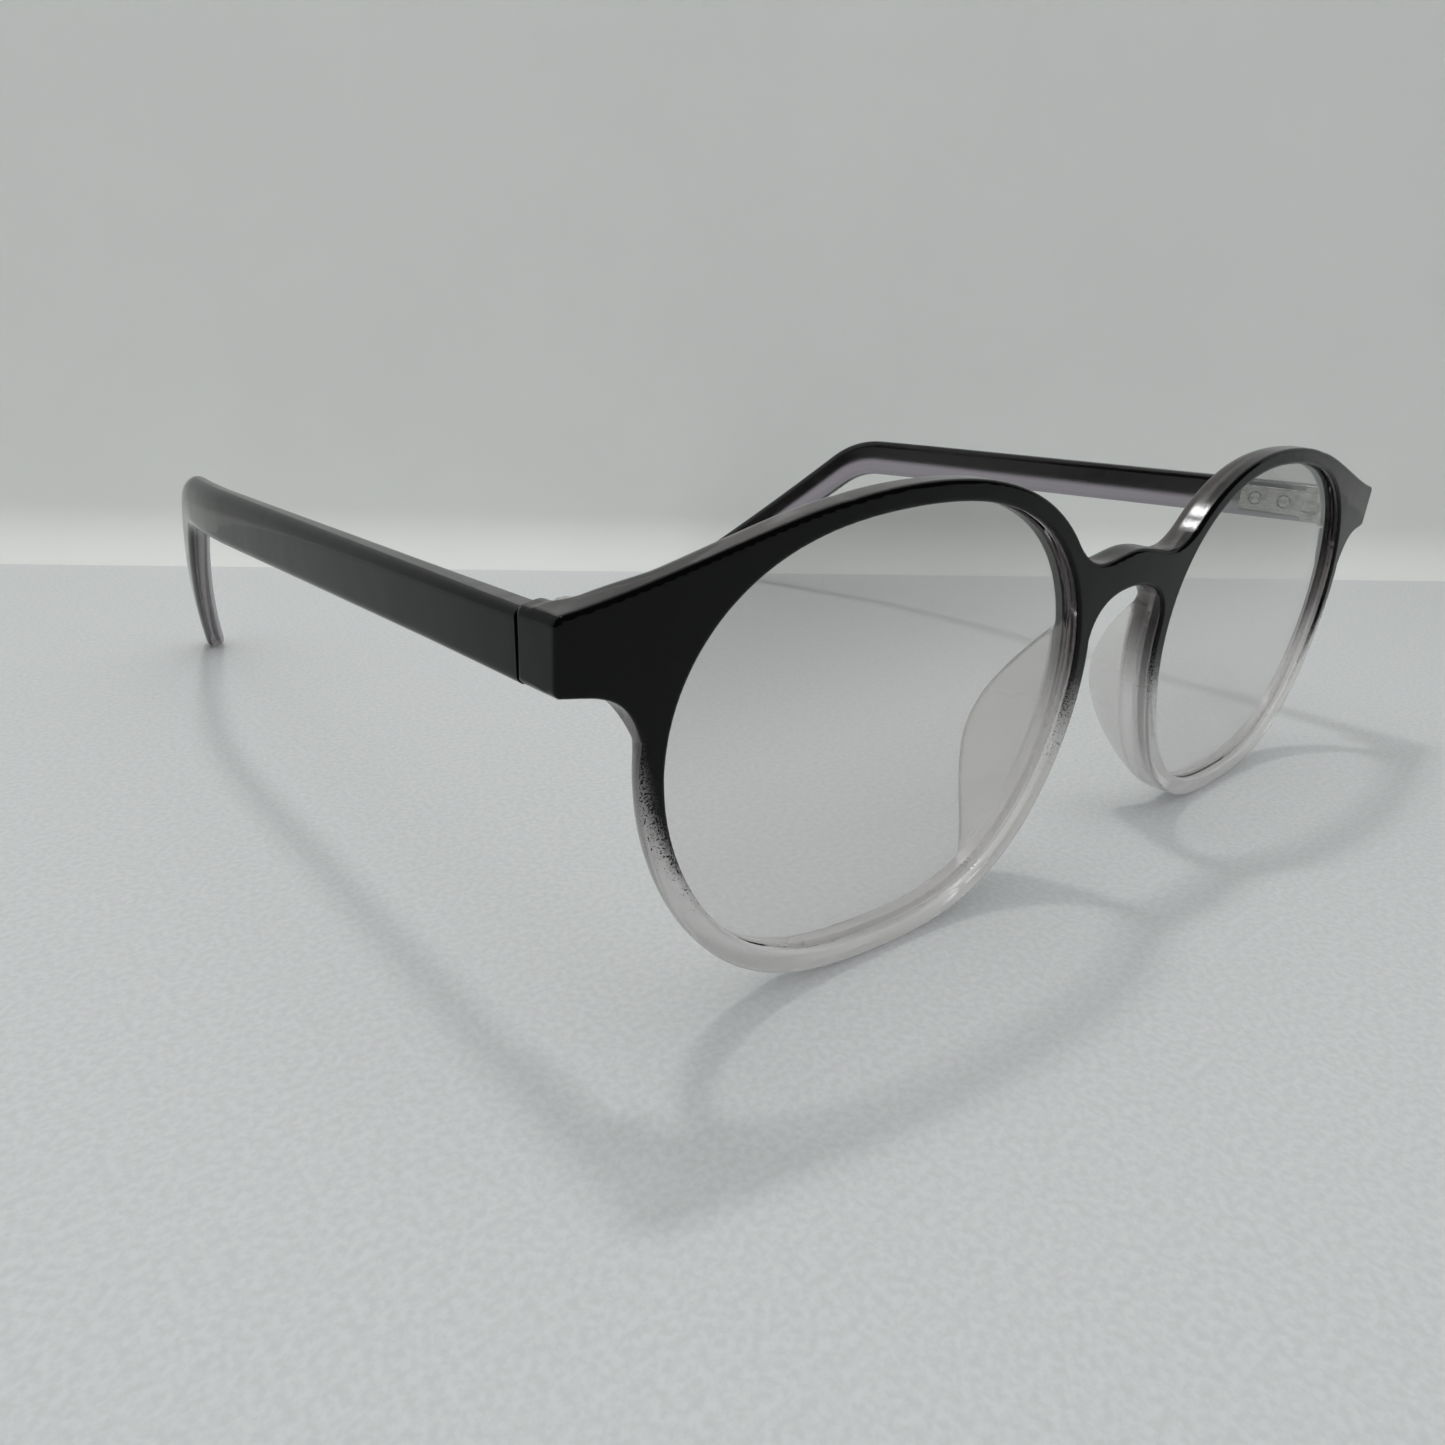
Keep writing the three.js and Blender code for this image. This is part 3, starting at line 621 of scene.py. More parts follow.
def make_front():
    """Half the skin and its mirror image, joined at the middle and wrapped."""
    points, quads, normals = skin_mesh(front_distance, *FRONT_GRID, FRONT_CELL, half=True)
    seam = points[:, 0] == 0
    others = np.flatnonzero(~seam)
    twin = np.arange(len(points))
    twin[others] = len(points) + np.arange(len(others))
    flat = np.concatenate([points, points[others] * MIRROR])
    faces = np.concatenate([quads, twin[quads][:, ::-1]])
    facing = unit(wrapped_normals(flat, np.concatenate([normals, normals[others] * MIRROR])))
    u, w, v = np.abs(flat[:, 0]), flat[:, 1], flat[:, 2]
    angle, _, beyond = from_lens(u, v)
    outer_share = np.clip(beyond / rim_width(angle), 0, 1)
    towards_temple = np.clip((u - LENS_U) / LENS_HALF_WIDTH, 0, 1)
    towards_nose = np.clip((LENS_U - u) / LENS_HALF_WIDTH, 0, 1)
    level = v - COAT_RUN_OUT * towards_temple * outer_share - COAT_NOSE_RISE * towards_nose
    obj = make_mesh("front_frame_fine", to_row(wrap(flat)), faces, facing)
    add_layers(obj.data, {"coat_depth": np.minimum(w, END_U - u), "coat_level": level})
    return obj


def wrapped_normals(flat, normals):
    """Normals of the wrapped skin: the wrap shears depth by the bend, then tilts."""
    shear = flat[:, 0] / FRONT_BEND_RADIUS
    return tilt(normals[:, 0] - shear * normals[:, 1], normals[:, 1], normals[:, 2])


# ---- Rings of points joined into a skin ----
def loft_faces(ring_count, ring_size):
    faces = []
    for ring in range(ring_count - 1):
        a = ring * ring_size + np.arange(ring_size)
        b = ring * ring_size + (np.arange(ring_size) + 1) % ring_size
        faces.append(np.stack([a, b, b + ring_size, a + ring_size], axis=1))
    return np.concatenate(faces)


def make_lofted(name, rings, side):
    """Closed rings from one end to the other, with a flat cap at each end, all facing out."""
    size = len(rings[0])
    points = np.concatenate(rings)
    if side < 0:
        points = points * MIRROR
    faces = loft_faces(len(rings), size).tolist()
    faces.append(list(range(size))[::-1])
    faces.append([(len(rings) - 1) * size + i for i in range(size)])
    obj = add_object(name, to_row(points), faces)
    obj.data.update()
    face_outwards(obj.data)
    shade(obj.data)
    return obj


def face_outwards(mesh):
    mesh.calc_loop_triangles()
    corners = np.array([[mesh.vertices[i].co for i in t.vertices] for t in mesh.loop_triangles])
    volume = np.einsum("ij,ij->i", corners[:, 0], np.cross(corners[:, 1], corners[:, 2])).sum()
    if volume < 0:
        mesh.flip_normals()


def shade(mesh):
    smooth_faces(mesh)
    mesh.set_sharp_from_angle(angle=SHARP_ANGLE)


def apply_modifiers(obj):
    bpy.context.view_layer.update()
    evaluated = obj.evaluated_get(bpy.context.evaluated_depsgraph_get())
    finished = bpy.data.meshes.new_from_object(evaluated)
    obj.modifiers.clear()
    obj.data = finished


# ---- Lenses ----
LENS_SPOKES = 180
LENS_RINGS = (0.04, 0.2, 0.4, 0.6, 0.8, 0.93, 1)  # shares of the radius


def make_lens(label, side):
    """A thin curved disc whose edge is a ridge."""
    angles = np.linspace(0, 2 * math.pi, LENS_SPOKES, endpoint=False)
    half = LENS_THICKNESS / 2
    centre = np.array([LENS_U, LENS_V])

    def ring(share, beyond, offset):
        u, v = (centre + (around_lens(angles, beyond) - centre) * share).T
        return wrap(np.stack([u, lens_depth(u, v) + offset, v], axis=-1))

    front = [ring(share, BEVEL_SHOULDER, -half) for share in LENS_RINGS]
    rear = [ring(share, BEVEL_SHOULDER, half) for share in reversed(LENS_RINGS)]
    return make_lofted(f"lens_{label}_fine", front + [ring(1, BEVEL_HEIGHT, 0)] + rear, side)


# ---- Temples ----
TEMPLE_FRONT_Y = JOINT_Y + JOINT_GAP
TEMPLE_MIDDLE = 3  # below the top edge, about half way down


def section_at(distance):
    stops, *rows = zip(*TEMPLE_SECTIONS)
    return [float(np.interp(distance, stops, row)) for row in rows]


def temple_path(distance):
    """The top edge: straight, bent down round the ear, then straight to the tip. Returns y, z and pitch."""
    turned = np.clip((distance - TEMPLE_STRAIGHT) / TEMPLE_BEND_RADIUS, 0, TEMPLE_BEND)
    straight = np.minimum(distance, TEMPLE_STRAIGHT)
    tail = np.maximum(0, distance - TEMPLE_STRAIGHT - BEND_LENGTH)
    along = straight + TEMPLE_BEND_RADIUS * np.sin(turned) + tail * np.cos(turned)
    down = TEMPLE_BEND_RADIUS * (1 - np.cos(turned)) + tail * np.sin(turned)
    y = TEMPLE_FRONT_Y + along * math.cos(TEMPLE_DROP) - down * math.sin(TEMPLE_DROP)
    z = TEMPLE_TOP_Z - down * math.cos(TEMPLE_DROP) - along * math.sin(TEMPLE_DROP)
    return y, z, turned + TEMPLE_DROP


def inward_shift(distance):
    share = np.maximum(0, distance - TEMPLE_INWARD_START) / (TEMPLE_LENGTH - TEMPLE_INWARD_START)
    return TEMPLE_INWARD * share**TEMPLE_INWARD_POWER


CORNER_STEPS = 6
FACE_ROWS = 14


def rounded_section(half_thickness, half_height, corner):
    """A rounded box, from its outer top corner round to rows of points on its outer face."""
    points = []
    for quarter, (side, level) in enumerate(((1, 1), (-1, 1), (-1, -1), (1, -1))):
        for i in range(CORNER_STEPS + 1):
            angle = (quarter + i / CORNER_STEPS) * math.pi / 2
            across = side * (half_thickness - corner) + corner * math.cos(angle)
            up = level * (half_height - corner) + corner * math.sin(angle)
            points.append((across, up))
    for share in np.linspace(-1, 1, FACE_ROWS + 2)[1:-1]:
        points.append((half_thickness, share * (half_height - corner)))
    return points


def crown_shift(below_top, distance):
    """How far the outer face leans in, this far below the temple's top edge."""
    band = np.interp(distance, (0, TEMPLE_STRAIGHT), (CROWN_START, CROWN_END))
    return CROWN_LEAN * band * np.clip(1 - below_top / band, 0, 1) ** 2


def temple_ring(distance):
    height, thickness, corner = section_at(distance)
    y, z, pitch = temple_path(distance)
    from_tip = min(1, (TEMPLE_LENGTH - distance) / TIP_ROUNDING)
    narrowing = math.sqrt(max(0.04, 1 - (1 - from_tip) ** 2))
    steep = float(inward_shift(distance + 0.5) - inward_shift(distance - 0.5))
    up = np.array([0, math.sin(pitch), math.cos(pitch)])
    across = unit(np.array([1, steep * math.cos(pitch), -steep * math.sin(pitch)]))
    x = END_U - thickness / 2 - float(inward_shift(distance))
    middle = np.array([x, float(y), float(z)]) - up * height / 2
    corner = min(corner, thickness / 2 * narrowing * 0.98)
    half_thickness, half_height = thickness / 2 * math.sqrt(narrowing), height / 2 * narrowing
    ring = []
    for a, b in rounded_section(half_thickness, half_height, corner):
        lean = float(crown_shift(half_height - b, distance)) * narrowing * (a / half_thickness + 1) / 2
        ring.append(middle + across * (a - lean) + up * b)
    return np.array(ring)


def temple_layers(mesh, side):
    """Each vertex's depth below the temple's outer face, and its distance below the top edge."""
    points = np.array([v.co for v in mesh.vertices]) / MM + np.array([0, ORIGIN_Y, 0])
    stations = np.linspace(0, TEMPLE_LENGTH, 300)
    y, z, pitch = temple_path(stations)
    middle = np.stack([y - TEMPLE_MIDDLE * np.sin(pitch), z - TEMPLE_MIDDLE * np.cos(pitch)], axis=-1)
    nearest = ((points[:, None, 1:] - middle[None]) ** 2).sum(-1).argmin(1)
    distance, y, z, pitch = stations[nearest], y[nearest], z[nearest], pitch[nearest]
    below_top = (y - points[:, 1]) * np.sin(pitch) + (z - points[:, 2]) * np.cos(pitch)
    depth = END_U - inward_shift(distance) - crown_shift(below_top, distance) - points[:, 0] * side
    return {"coat_depth": depth, "below_top": below_top}


JOINT_STATIONS = [0, 0.12, 0.3, 0.7, 1.5, 3]
STRAIGHT_STATIONS = np.arange(5, TEMPLE_INWARD_START, 5)
CURVED_STATIONS = np.arange(TEMPLE_INWARD_START, TEMPLE_LENGTH - TIP_ROUNDING, 1.2)
TIP_STATIONS = TEMPLE_LENGTH - TIP_ROUNDING * (1 - np.sin(np.linspace(0, math.pi / 2, 14)))


def make_temple(label, side):
    """Rings lofted from the joint to the tip, less the leaf's seat and the screw holes."""
    stations = [*JOINT_STATIONS, *STRAIGHT_STATIONS, *CURVED_STATIONS, *TIP_STATIONS]
    obj = make_lofted(f"temple_{label}_fine", [temple_ring(d) for d in stations], side)
    seat_low = (LEAF_PLANE_X - 3, TEMPLE_FRONT_Y - 1, LEAF_BOTTOM - SEAT_CLEARANCE)
    seat_high = np.array((TEMPLE_LEAF_X, TEMPLE_LEAF_END_Y, LEAF_TOP)) + SEAT_CLEARANCE
    cutters = [make_block("seat_cutter", seat_low, seat_high, side)]
    cutters += [make_hole_cutter(y, side) for y in TEMPLE_SCREW_Y]
    for cutter in cutters:
        cut = obj.modifiers.new("cut", "BOOLEAN")
        cut.operation = "DIFFERENCE"
        cut.solver = "EXACT"
        cut.object = cutter
    apply_modifiers(obj)
    for cutter in cutters:
        bpy.data.objects.remove(cutter)
    shade(obj.data)
    add_layers(obj.data, temple_layers(obj.data, side))
    weighted = obj.modifiers.new("shade", "WEIGHTED_NORMAL")
    weighted.keep_sharp = True
    apply_modifiers(obj)
    return obj


def make_block(name, low, high, side):
    """A plain box, to cut with."""
    corners = np.array([[(low, high)[c[k]][k] for k in range(3)] for c in CORNERS])
    faces = [(0, 1, 3, 2), (4, 6, 7, 5), (0, 4, 5, 1), (2, 3, 7, 6), (0, 2, 6, 4), (1, 5, 7, 3)]
    obj = add_object(name, to_row(corners * (MIRROR if side < 0 else 1)), faces)
    face_outwards(obj.data)
    return obj


HOLE_SIDES = 32


def make_hole_cutter(y, side):
    """A plain rod, to cut with."""
    head = LEAF_PLANE_X + SCREW_SINK
    turn = np.linspace(0, 2 * math.pi, HOLE_SIDES, endpoint=False)
    circle = y + HOLE_RADIUS * np.cos(turn), HINGE_Z + HOLE_RADIUS * np.sin(turn)
    ends = (head - 1, head + SCREW_LENGTH + SCREW_CLEARANCE)
    rings = [np.stack([np.full(HOLE_SIDES, x), *circle], axis=-1) for x in ends]
    return make_lofted("hole_cutter", rings, side)


# ---- Hinge hardware ----
HINGE_BOTTOM = HINGE_Z - 1.5 * BARREL_HEIGHT - BARREL_GAP
HINGE_AXIS = (HINGE_X, HINGE_Y)
PIVOT_ROOM = 1.2  # above the leaves, in the box that the pivot is made in
BARREL_ROOM = 0.4


def barrel_bottom(level):
    return HINGE_BOTTOM + level * (BARREL_HEIGHT + BARREL_GAP)


def screw_distance(across, other, along, grow=0.0):
    """A countersunk screw: its head's face is at along = 0 and its shank runs to negative along."""
    around = np.hypot(across, other)
    length = np.abs(along + SCREW_LENGTH / 2) - SCREW_LENGTH / 2 - grow
    shank = np.maximum(around - SCREW_RADIUS - grow, length)
    wide = SCREW_HEAD_RADIUS - SCREW_RADIUS
    taper = (along + SCREW_HEAD_LIP) * wide / (SCREW_HEAD_HEIGHT - SCREW_HEAD_LIP)
    cone = (around - SCREW_HEAD_RADIUS - grow - taper) * CONE_SCALE
    head = np.maximum(np.maximum(cone, around - SCREW_HEAD_RADIUS - grow), along)
    head = np.maximum(head, -along - SCREW_HEAD_HEIGHT)
    return np.minimum(shank, head)


def slot_distance(across, along):
    return np.maximum(np.abs(across) - SLOT_HALF_WIDTH, -along - SLOT_DEPTH)


def mouth_distance(across, other, along):
    """The countersink's mouth, open above the head."""
    return np.maximum(np.hypot(across, other) - SCREW_HEAD_RADIUS - SCREW_CLEARANCE, -along - MOUTH_DEPTH)


def in_front_leaf(points, x):
    return points[..., 0] - x, points[..., 2] - HINGE_Z, points[..., 1] - (FRONT_LEAF_REAR - SCREW_SINK)


def in_temple_leaf(points, y):
    return points[..., 1] - y, points[..., 2] - HINGE_Z, LEAF_PLANE_X + SCREW_SINK - points[..., 0]


def barrel_distance(points, level, neck_low, neck_high):
    """One barrel, with the neck that joins it to its leaf."""
    bottom = barrel_bottom(level)
    top = bottom + BARREL_HEIGHT
    barrel = rod_distance(points, 2, HINGE_AXIS, BARREL_RADIUS, bottom, top, METAL_ROUNDING)
    neck = box_distance(points, (*neck_low, bottom), (*neck_high, top), METAL_ROUNDING)
    return np.minimum(barrel, neck)


def leaf_distance(points, low, high, barrels, place, screws):
    """A leaf with its barrels, less the pivot's bore and the screws' holes."""
    solid = box_distance(points, low, high, METAL_ROUNDING)
    for barrel in barrels:
        solid = filleted_either(solid, barrel, METAL_FILLET)
    cutters = [rod_distance(points, 2, HINGE_AXIS, PIVOT_HOLE_RADIUS, HINGE_BOTTOM - 1, LEAF_TOP + 2)]
    for spot in screws:
        across, other, along = place(points, spot)
        cutters.append(screw_distance(across, other, along, SCREW_CLEARANCE))
        cutters.append(mouth_distance(across, other, along))
    return without(solid, *cutters)


def front_leaf_distance(points):
    low = (FRONT_LEAF_INNER_X, FRONT_LEAF_Y, LEAF_BOTTOM)
    high = (HINGE_X + NECK_HALF_WIDTH, FRONT_LEAF_REAR, LEAF_TOP)
    neck_low = (HINGE_X - NECK_HALF_WIDTH, FRONT_LEAF_REAR - NECK_OVERLAP)
    neck_high = (HINGE_X + NECK_HALF_WIDTH, HINGE_Y)
    barrels = [barrel_distance(points, level, neck_low, neck_high) for level in (0, 2)]
    return leaf_distance(points, low, high, barrels, in_front_leaf, FRONT_SCREW_X)


def temple_leaf_distance(points):
    low = (LEAF_PLANE_X, HINGE_Y - TEMPLE_LEAF_LEAD, LEAF_BOTTOM)
    high = (TEMPLE_LEAF_X, TEMPLE_LEAF_END_Y, LEAF_TOP)
    neck_low = (HINGE_X, HINGE_Y - TEMPLE_LEAF_LEAD)
    neck_high = (LEAF_PLANE_X + NECK_OVERLAP, HINGE_Y + NECK_HALF_WIDTH)
    barrels = [barrel_distance(points, 1, neck_low, neck_high)]
    return leaf_distance(points, low, high, barrels, in_temple_leaf, TEMPLE_SCREW_Y)


def pivot_screw_distance(points):
    seat = barrel_bottom(2) + BARREL_HEIGHT + PIVOT_HEAD_GAP
    top = seat + PIVOT_HEAD_HEIGHT
    tip = HINGE_BOTTOM + PIVOT_HEAD_GAP
    end = top - PIVOT_SHANK_SINK
    shank = rod_distance(points, 2, HINGE_AXIS, PIVOT_RADIUS, tip, end, PIVOT_SHANK_ROUNDING)
    head = rod_distance(points, 2, HINGE_AXIS, PIVOT_HEAD_RADIUS, seat, top, PIVOT_HEAD_ROUNDING)
    slot = slot_distance(points[..., 1] - HINGE_Y, points[..., 2] - top)
    return without(np.minimum(shank, head), slot)


def small_screw(place, spot):
    def distance(points):
        across, other, along = place(points, spot)
        chamfer = np.hypot(across, other) + along - SCREW_HEAD_RADIUS + SCREW_HEAD_CHAMFER
        whole = np.maximum(screw_distance(across, other, along), chamfer)
        return without(whole, slot_distance(other, along))

    return distance


def make_pair(name, ending, distance, low, high):
    """A piece of the left hinge, which fits between low and high, and its mirror image."""
    slot, cell = ("screw_metal", SCREW_CELL) if "screw" in name else ("hinge_metal", METAL_CELL)
    points, quads, normals = skin_mesh(distance, np.array(low) - 3 * cell, np.array(high) + 3 * cell, cell)
    for label, side in SIDES:
        if side < 0:
            points, quads, normals = points * MIRROR, quads[:, ::-1], normals * MIRROR
        node = f"{name}_{label}{ending}"
        obj = make_mesh(f"{node}_fine", to_row(points), quads, normals)
        settle(obj, f"{label}_arm" if "temple" in name else "front", node, slot)


def make_hardware():
    """Each hinge's two leaves and five screws."""
    low = (HINGE_X - BARREL_RADIUS, HINGE_Y - BARREL_RADIUS, HINGE_BOTTOM)
    high = (HINGE_X + BARREL_RADIUS, HINGE_Y + BARREL_RADIUS, LEAF_TOP + PIVOT_ROOM)
    front_low = (FRONT_LEAF_INNER_X, FRONT_LEAF_Y, LEAF_BOTTOM - BARREL_ROOM)
    temple_low = (*low[:2], LEAF_BOTTOM)
    temple_high = (TEMPLE_LEAF_X, TEMPLE_LEAF_END_Y, LEAF_TOP + BARREL_ROOM)
    make_pair("hinge_front_leaf", "", front_leaf_distance, front_low, high)
    make_pair("hinge_temple_leaf", "", temple_leaf_distance, temple_low, temple_high)
    make_pair("pivot_screw", "", pivot_screw_distance, low, high)
    around = SCREW_HEAD_RADIUS
    for i, x in enumerate(FRONT_SCREW_X):
        head = np.array([x, FRONT_LEAF_REAR - SCREW_SINK, HINGE_Z])
        tail = head - np.array([0, SCREW_LENGTH, 0])
        distance = small_screw(in_front_leaf, x)
        make_pair("front_leaf_screw", f"_{i + 1}", distance, tail - around, head + around)
    for i, y in enumerate(TEMPLE_SCREW_Y):
        head = np.array([LEAF_PLANE_X + SCREW_SINK, y, HINGE_Z])
        tail = head + np.array([SCREW_LENGTH, 0, 0])
        distance = small_screw(in_temple_leaf, y)
        make_pair("temple_leaf_screw", f"_{i + 1}", distance, head - around, tail + around)


def settle(obj, body, node, slot):
    """Puts a piece on its body, hides the CAD node that it stands in for, and gives it its slot's material.
    """
    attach(obj, body)
    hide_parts(node)
    obj.data.materials.clear()
    obj.data.materials.append(MATERIALS[slot])


# ---- Materials ----
class Nodes:
    """A material's node tree, built by short calls that return output sockets."""

    def __init__(self, name):
        self.material = bpy.data.materials.new(name)
        self.material.use_nodes = True
        self.tree = self.material.node_tree
        self.tree.nodes.clear()
        self.place = self.add("ShaderNodeTexCoord").outputs["Object"]

    def add(self, kind, inputs=None, **settings):
        node = self.tree.nodes.new(kind)
        for key, value in settings.items():
            setattr(node, key, value)
        for key, value in (inputs or {}).items():
            self.feed(node.inputs[key], value)
        return node

    def feed(self, socket, value):
        if isinstance(value, bpy.types.NodeSocket):
            self.tree.links.new(value, socket)
        else:
            socket.default_value = value

    def math(self, operation, a, b):
        return self.add("ShaderNodeMath", {0: a, 1: b}, operation=operation).outputs[0]

    def spread(self, value, low, high, to_low=0.0, to_high=1.0, smooth=True):
        """Maps low..high of a value to to_low..to_high."""
        kind = "SMOOTHSTEP" if smooth else "LINEAR"
        inputs = {"Value": value, "From Min": low, "From Max": high, "To Min": to_low, "To Max": to_high}
        return self.add("ShaderNodeMapRange", inputs, interpolation_type=kind).outputs["Result"]

    def blend(self, share, first, second):
        return self.add("ShaderNodeMix", {0: share, 6: first, 7: second}, data_type="RGBA").outputs[2]

    def noise(self, scale, detail, roughness, stretch=None, place=None):
        place = place or self.place
        if stretch:
            place = self.add("ShaderNodeMapping", {"Vector": place, "Scale": stretch}).outputs[0]
        inputs = {"Vector": place, "Scale": scale, "Detail": detail, "Roughness": roughness}
        return self.add("ShaderNodeTexNoise", inputs).outputs["Fac"]

    def layer(self, name):
        return self.add("ShaderNodeAttribute", attribute_name=name).outputs["Fac"]

    def bump(self, height, distance, strength=1.0):
        inputs = {"Height": height, "Distance": distance, "Strength": strength}
        return self.add("ShaderNodeBump", inputs).outputs[0]

    def principled(self, inputs):
        return self.add("ShaderNodeBsdfPrincipled", inputs).outputs[0]

    def see_through(self, share, shader, colour=(1, 1, 1, 1)):
        clear = self.add("ShaderNodeBsdfTransparent", {"Color": colour}).outputs[0]
        return self.add("ShaderNodeMixShader", {0: share, 1: shader, 2: clear}).outputs[0]

    def finish(self, shader):
        self.add("ShaderNodeOutputMaterial", {"Surface": shader})
        return self.material

    def let_light_through(self, shader, share, colour):
        """Lamps' and floor's light passes a clear part straight, so that its shadow is soft and pale."""
        path = self.add("ShaderNodeLightPath")
        rays = self.math("MAXIMUM", path.outputs["Is Shadow Ray"], path.outputs["Is Diffuse Ray"])
        return self.see_through(self.math("MULTIPLY", rays, share), shader, colour)


COAT_BLACK = (0.003, 0.003, 0.0035, 1)
CLEAR_TINT = (0.95, 0.935, 0.92, 1)
SMOKE_TINT = (0.125, 0.108, 0.108, 1)  # where the coat closes the plastic in, it looks smoky
STRIP_TINT = (0.52, 0.48, 0.53, 1)
CLEAR_SHADOW = (0.62, 0.62, 0.63, 1)
PLASTIC_IOR = 1.49
COAT_GLOSS = 0.15  # specular level: a thin coat mirrors little
FROSTING = 0.13  # the clear plastic's extra roughness
# The lens's grey tint, then the darker tint of the painted shade on its upper part.
LENS_TINT_AND_PAINTED_SHADE = (0.855, 0.84, 0.84, 1), (0.60, 0.595, 0.595, 1)
LENS_REFLECTION = (0.55, 0.8, 0.62, 1)
LENS_SHADOW = (0.92, 0.92, 0.92, 1)
LENS_IOR = 1.5
NICKEL_SILVER = (0.62, 0.60, 0.56, 1), (0.40, 0.38, 0.35, 1)
STEEL = (0.70, 0.69, 0.67, 1), (0.52, 0.50, 0.47, 1)
PLASTIC_RELIEF = 0.00012
FRONT_COAT = 0.42  # depth, in millimetres, that the coat reaches round the edges
TEMPLE_COAT = 0.62
COAT_RAGGEDNESS = 0.16  # millimetres that the coat's edge strays over
COAT_FEATHER = 0.04

# Noise patterns: scale per metre, detail, roughness and stretch.
RAGGED_EDGE = (1400, 3, 0.5)
SMUDGES = (90, 3, 0.6)
SCUFFS = (260, 4, 0.7, (1, 1, 6))
WAVES = (120, 2, 0.5)
DEPTH_LINES = (5.5, 2, 0.6)  # along the depth, in millimetres
DRIFT = (160, 3, 0.6)
MIST = (9000, 1, 0.5)
SPECKS = (6500, 1, 0.6)
WIPING = (140, 3, 0.6, (1, 1, 3))
CLOUDS = (25, 1, 0.5)
BRUSHING = (900, 3, 0.6, (1, 1, 14))
DULLING = (700, 3, 0.6)
TURNING = (3500, 2, 0.6)
WEAR = (1200, 3, 0.6)

# Ranges, in millimetres, that levels, depths and heights are spread over.
FILM_LEVELS = (10.8, 22.5)
SPECK_LEVELS = (7.5, 17.5)
SPECK_THRESHOLDS = (0.75, 0.50)  # which the speck pattern has to pass, at these levels
RIM_DEPTHS = (4.4, 3.3)  # from the pads to the rims
SMOKE_LEVELS = (11, 22)
HAZE_LEVELS = (12, 26)
STRIP_HEIGHTS = (2.6, 4.2)  # below a temple's top edge
INNER_DEPTHS = (1.8, 2.5)
# Painted shade darkens the lens over these heights, towards its top.
LENS_PAINTED_SHADE_HEIGHTS = (24, 44)


def coated_plastic(name, coat_edge, tint_of, haze_of, cover_of=None):
    """Clear moulded plastic under a glossy black coat, sprayed on from outside, with a ragged edge."""
    n = Nodes(name)
    depth = n.layer("coat_depth")
    ragged = n.math("SUBTRACT", n.noise(*RAGGED_EDGE), 0.5)
    edge = n.math("ADD", depth, n.math("MULTIPLY", ragged, COAT_RAGGEDNESS))
    coat = n.spread(edge, coat_edge + COAT_FEATHER, coat_edge - COAT_FEATHER)
    if cover_of:
        coat = n.math("MULTIPLY", coat, cover_of(n))
    clear = n.math("SUBTRACT", 1, coat)
    smudged = n.spread(n.noise(*SMUDGES), 0.35, 0.75, 0.03, 0.08)
    scuffed = n.spread(n.noise(*SCUFFS), 0.62, 0.8, 0, 0.05)
    roughness = n.math("ADD", n.math("ADD", smudged, scuffed), n.math("MULTIPLY", clear, FROSTING))
    inwards = n.add("ShaderNodeCombineXYZ", {"X": depth}).outputs[0]
    lines = n.math("MULTIPLY", n.noise(*DEPTH_LINES, place=inwards), clear)
    relief = n.math("ADD", n.math("MULTIPLY", n.noise(*WAVES), 0.6), n.math("MULTIPLY", lines, 0.10))
    shader = n.principled({
        "Base Color": n.blend(coat, tint_of(n), COAT_BLACK),
        "Roughness": roughness,
        "Transmission Weight": n.math("MULTIPLY", clear, haze_of(n)),
        "Normal": n.bump(relief, PLASTIC_RELIEF),
        "IOR": PLASTIC_IOR,
        "Specular IOR Level": COAT_GLOSS,
    })
    return n.finish(n.let_light_through(shader, n.math("MULTIPLY", clear, 0.85), CLEAR_SHADOW))


def front_tint(n):
    """Smoky up in the rims, but clear in the nose pads, which stand out behind them."""
    in_rim = n.spread(n.layer("coat_depth"), *RIM_DEPTHS)
    high = n.spread(n.layer("coat_level"), *SMOKE_LEVELS)
    return n.blend(n.math("MULTIPLY", in_rim, high), CLEAR_TINT, SMOKE_TINT)


def front_haze(n):
    return n.spread(n.layer("coat_level"), *HAZE_LEVELS, 0.72, 0.93)


def temple_tint(n):
    """Smoky, but paler along the lower half, away from the coat."""
    return n.blend(n.spread(n.layer("below_top"), *STRIP_HEIGHTS), SMOKE_TINT, STRIP_TINT)


def temple_haze(n):
    inner = n.spread(n.layer("coat_depth"), *INNER_DEPTHS)
    lower = n.spread(n.layer("below_top"), *STRIP_HEIGHTS)
    return n.spread(n.math("MULTIPLY", inner, lower), 0, 1, 0.96, 0.35)


def faded(n):
    """1 where the coat is whole, falling through fine specks of spray to 0 on the lower rims."""
    drift = n.math("MULTIPLY", n.math("SUBTRACT", n.noise(*DRIFT), 0.5), 5.0)
    level = n.math("ADD", n.layer("coat_level"), drift)
    mist = n.math("MULTIPLY", n.noise(*MIST), 4.5)
    film = n.spread(n.math("ADD", level, mist), *FILM_LEVELS)
    threshold = n.spread(level, *SPECK_LEVELS, *SPECK_THRESHOLDS, smooth=False)
    specks = n.spread(n.math("SUBTRACT", n.noise(*SPECKS), threshold), -0.012, 0.02)
    return n.math("MAXIMUM", film, specks)


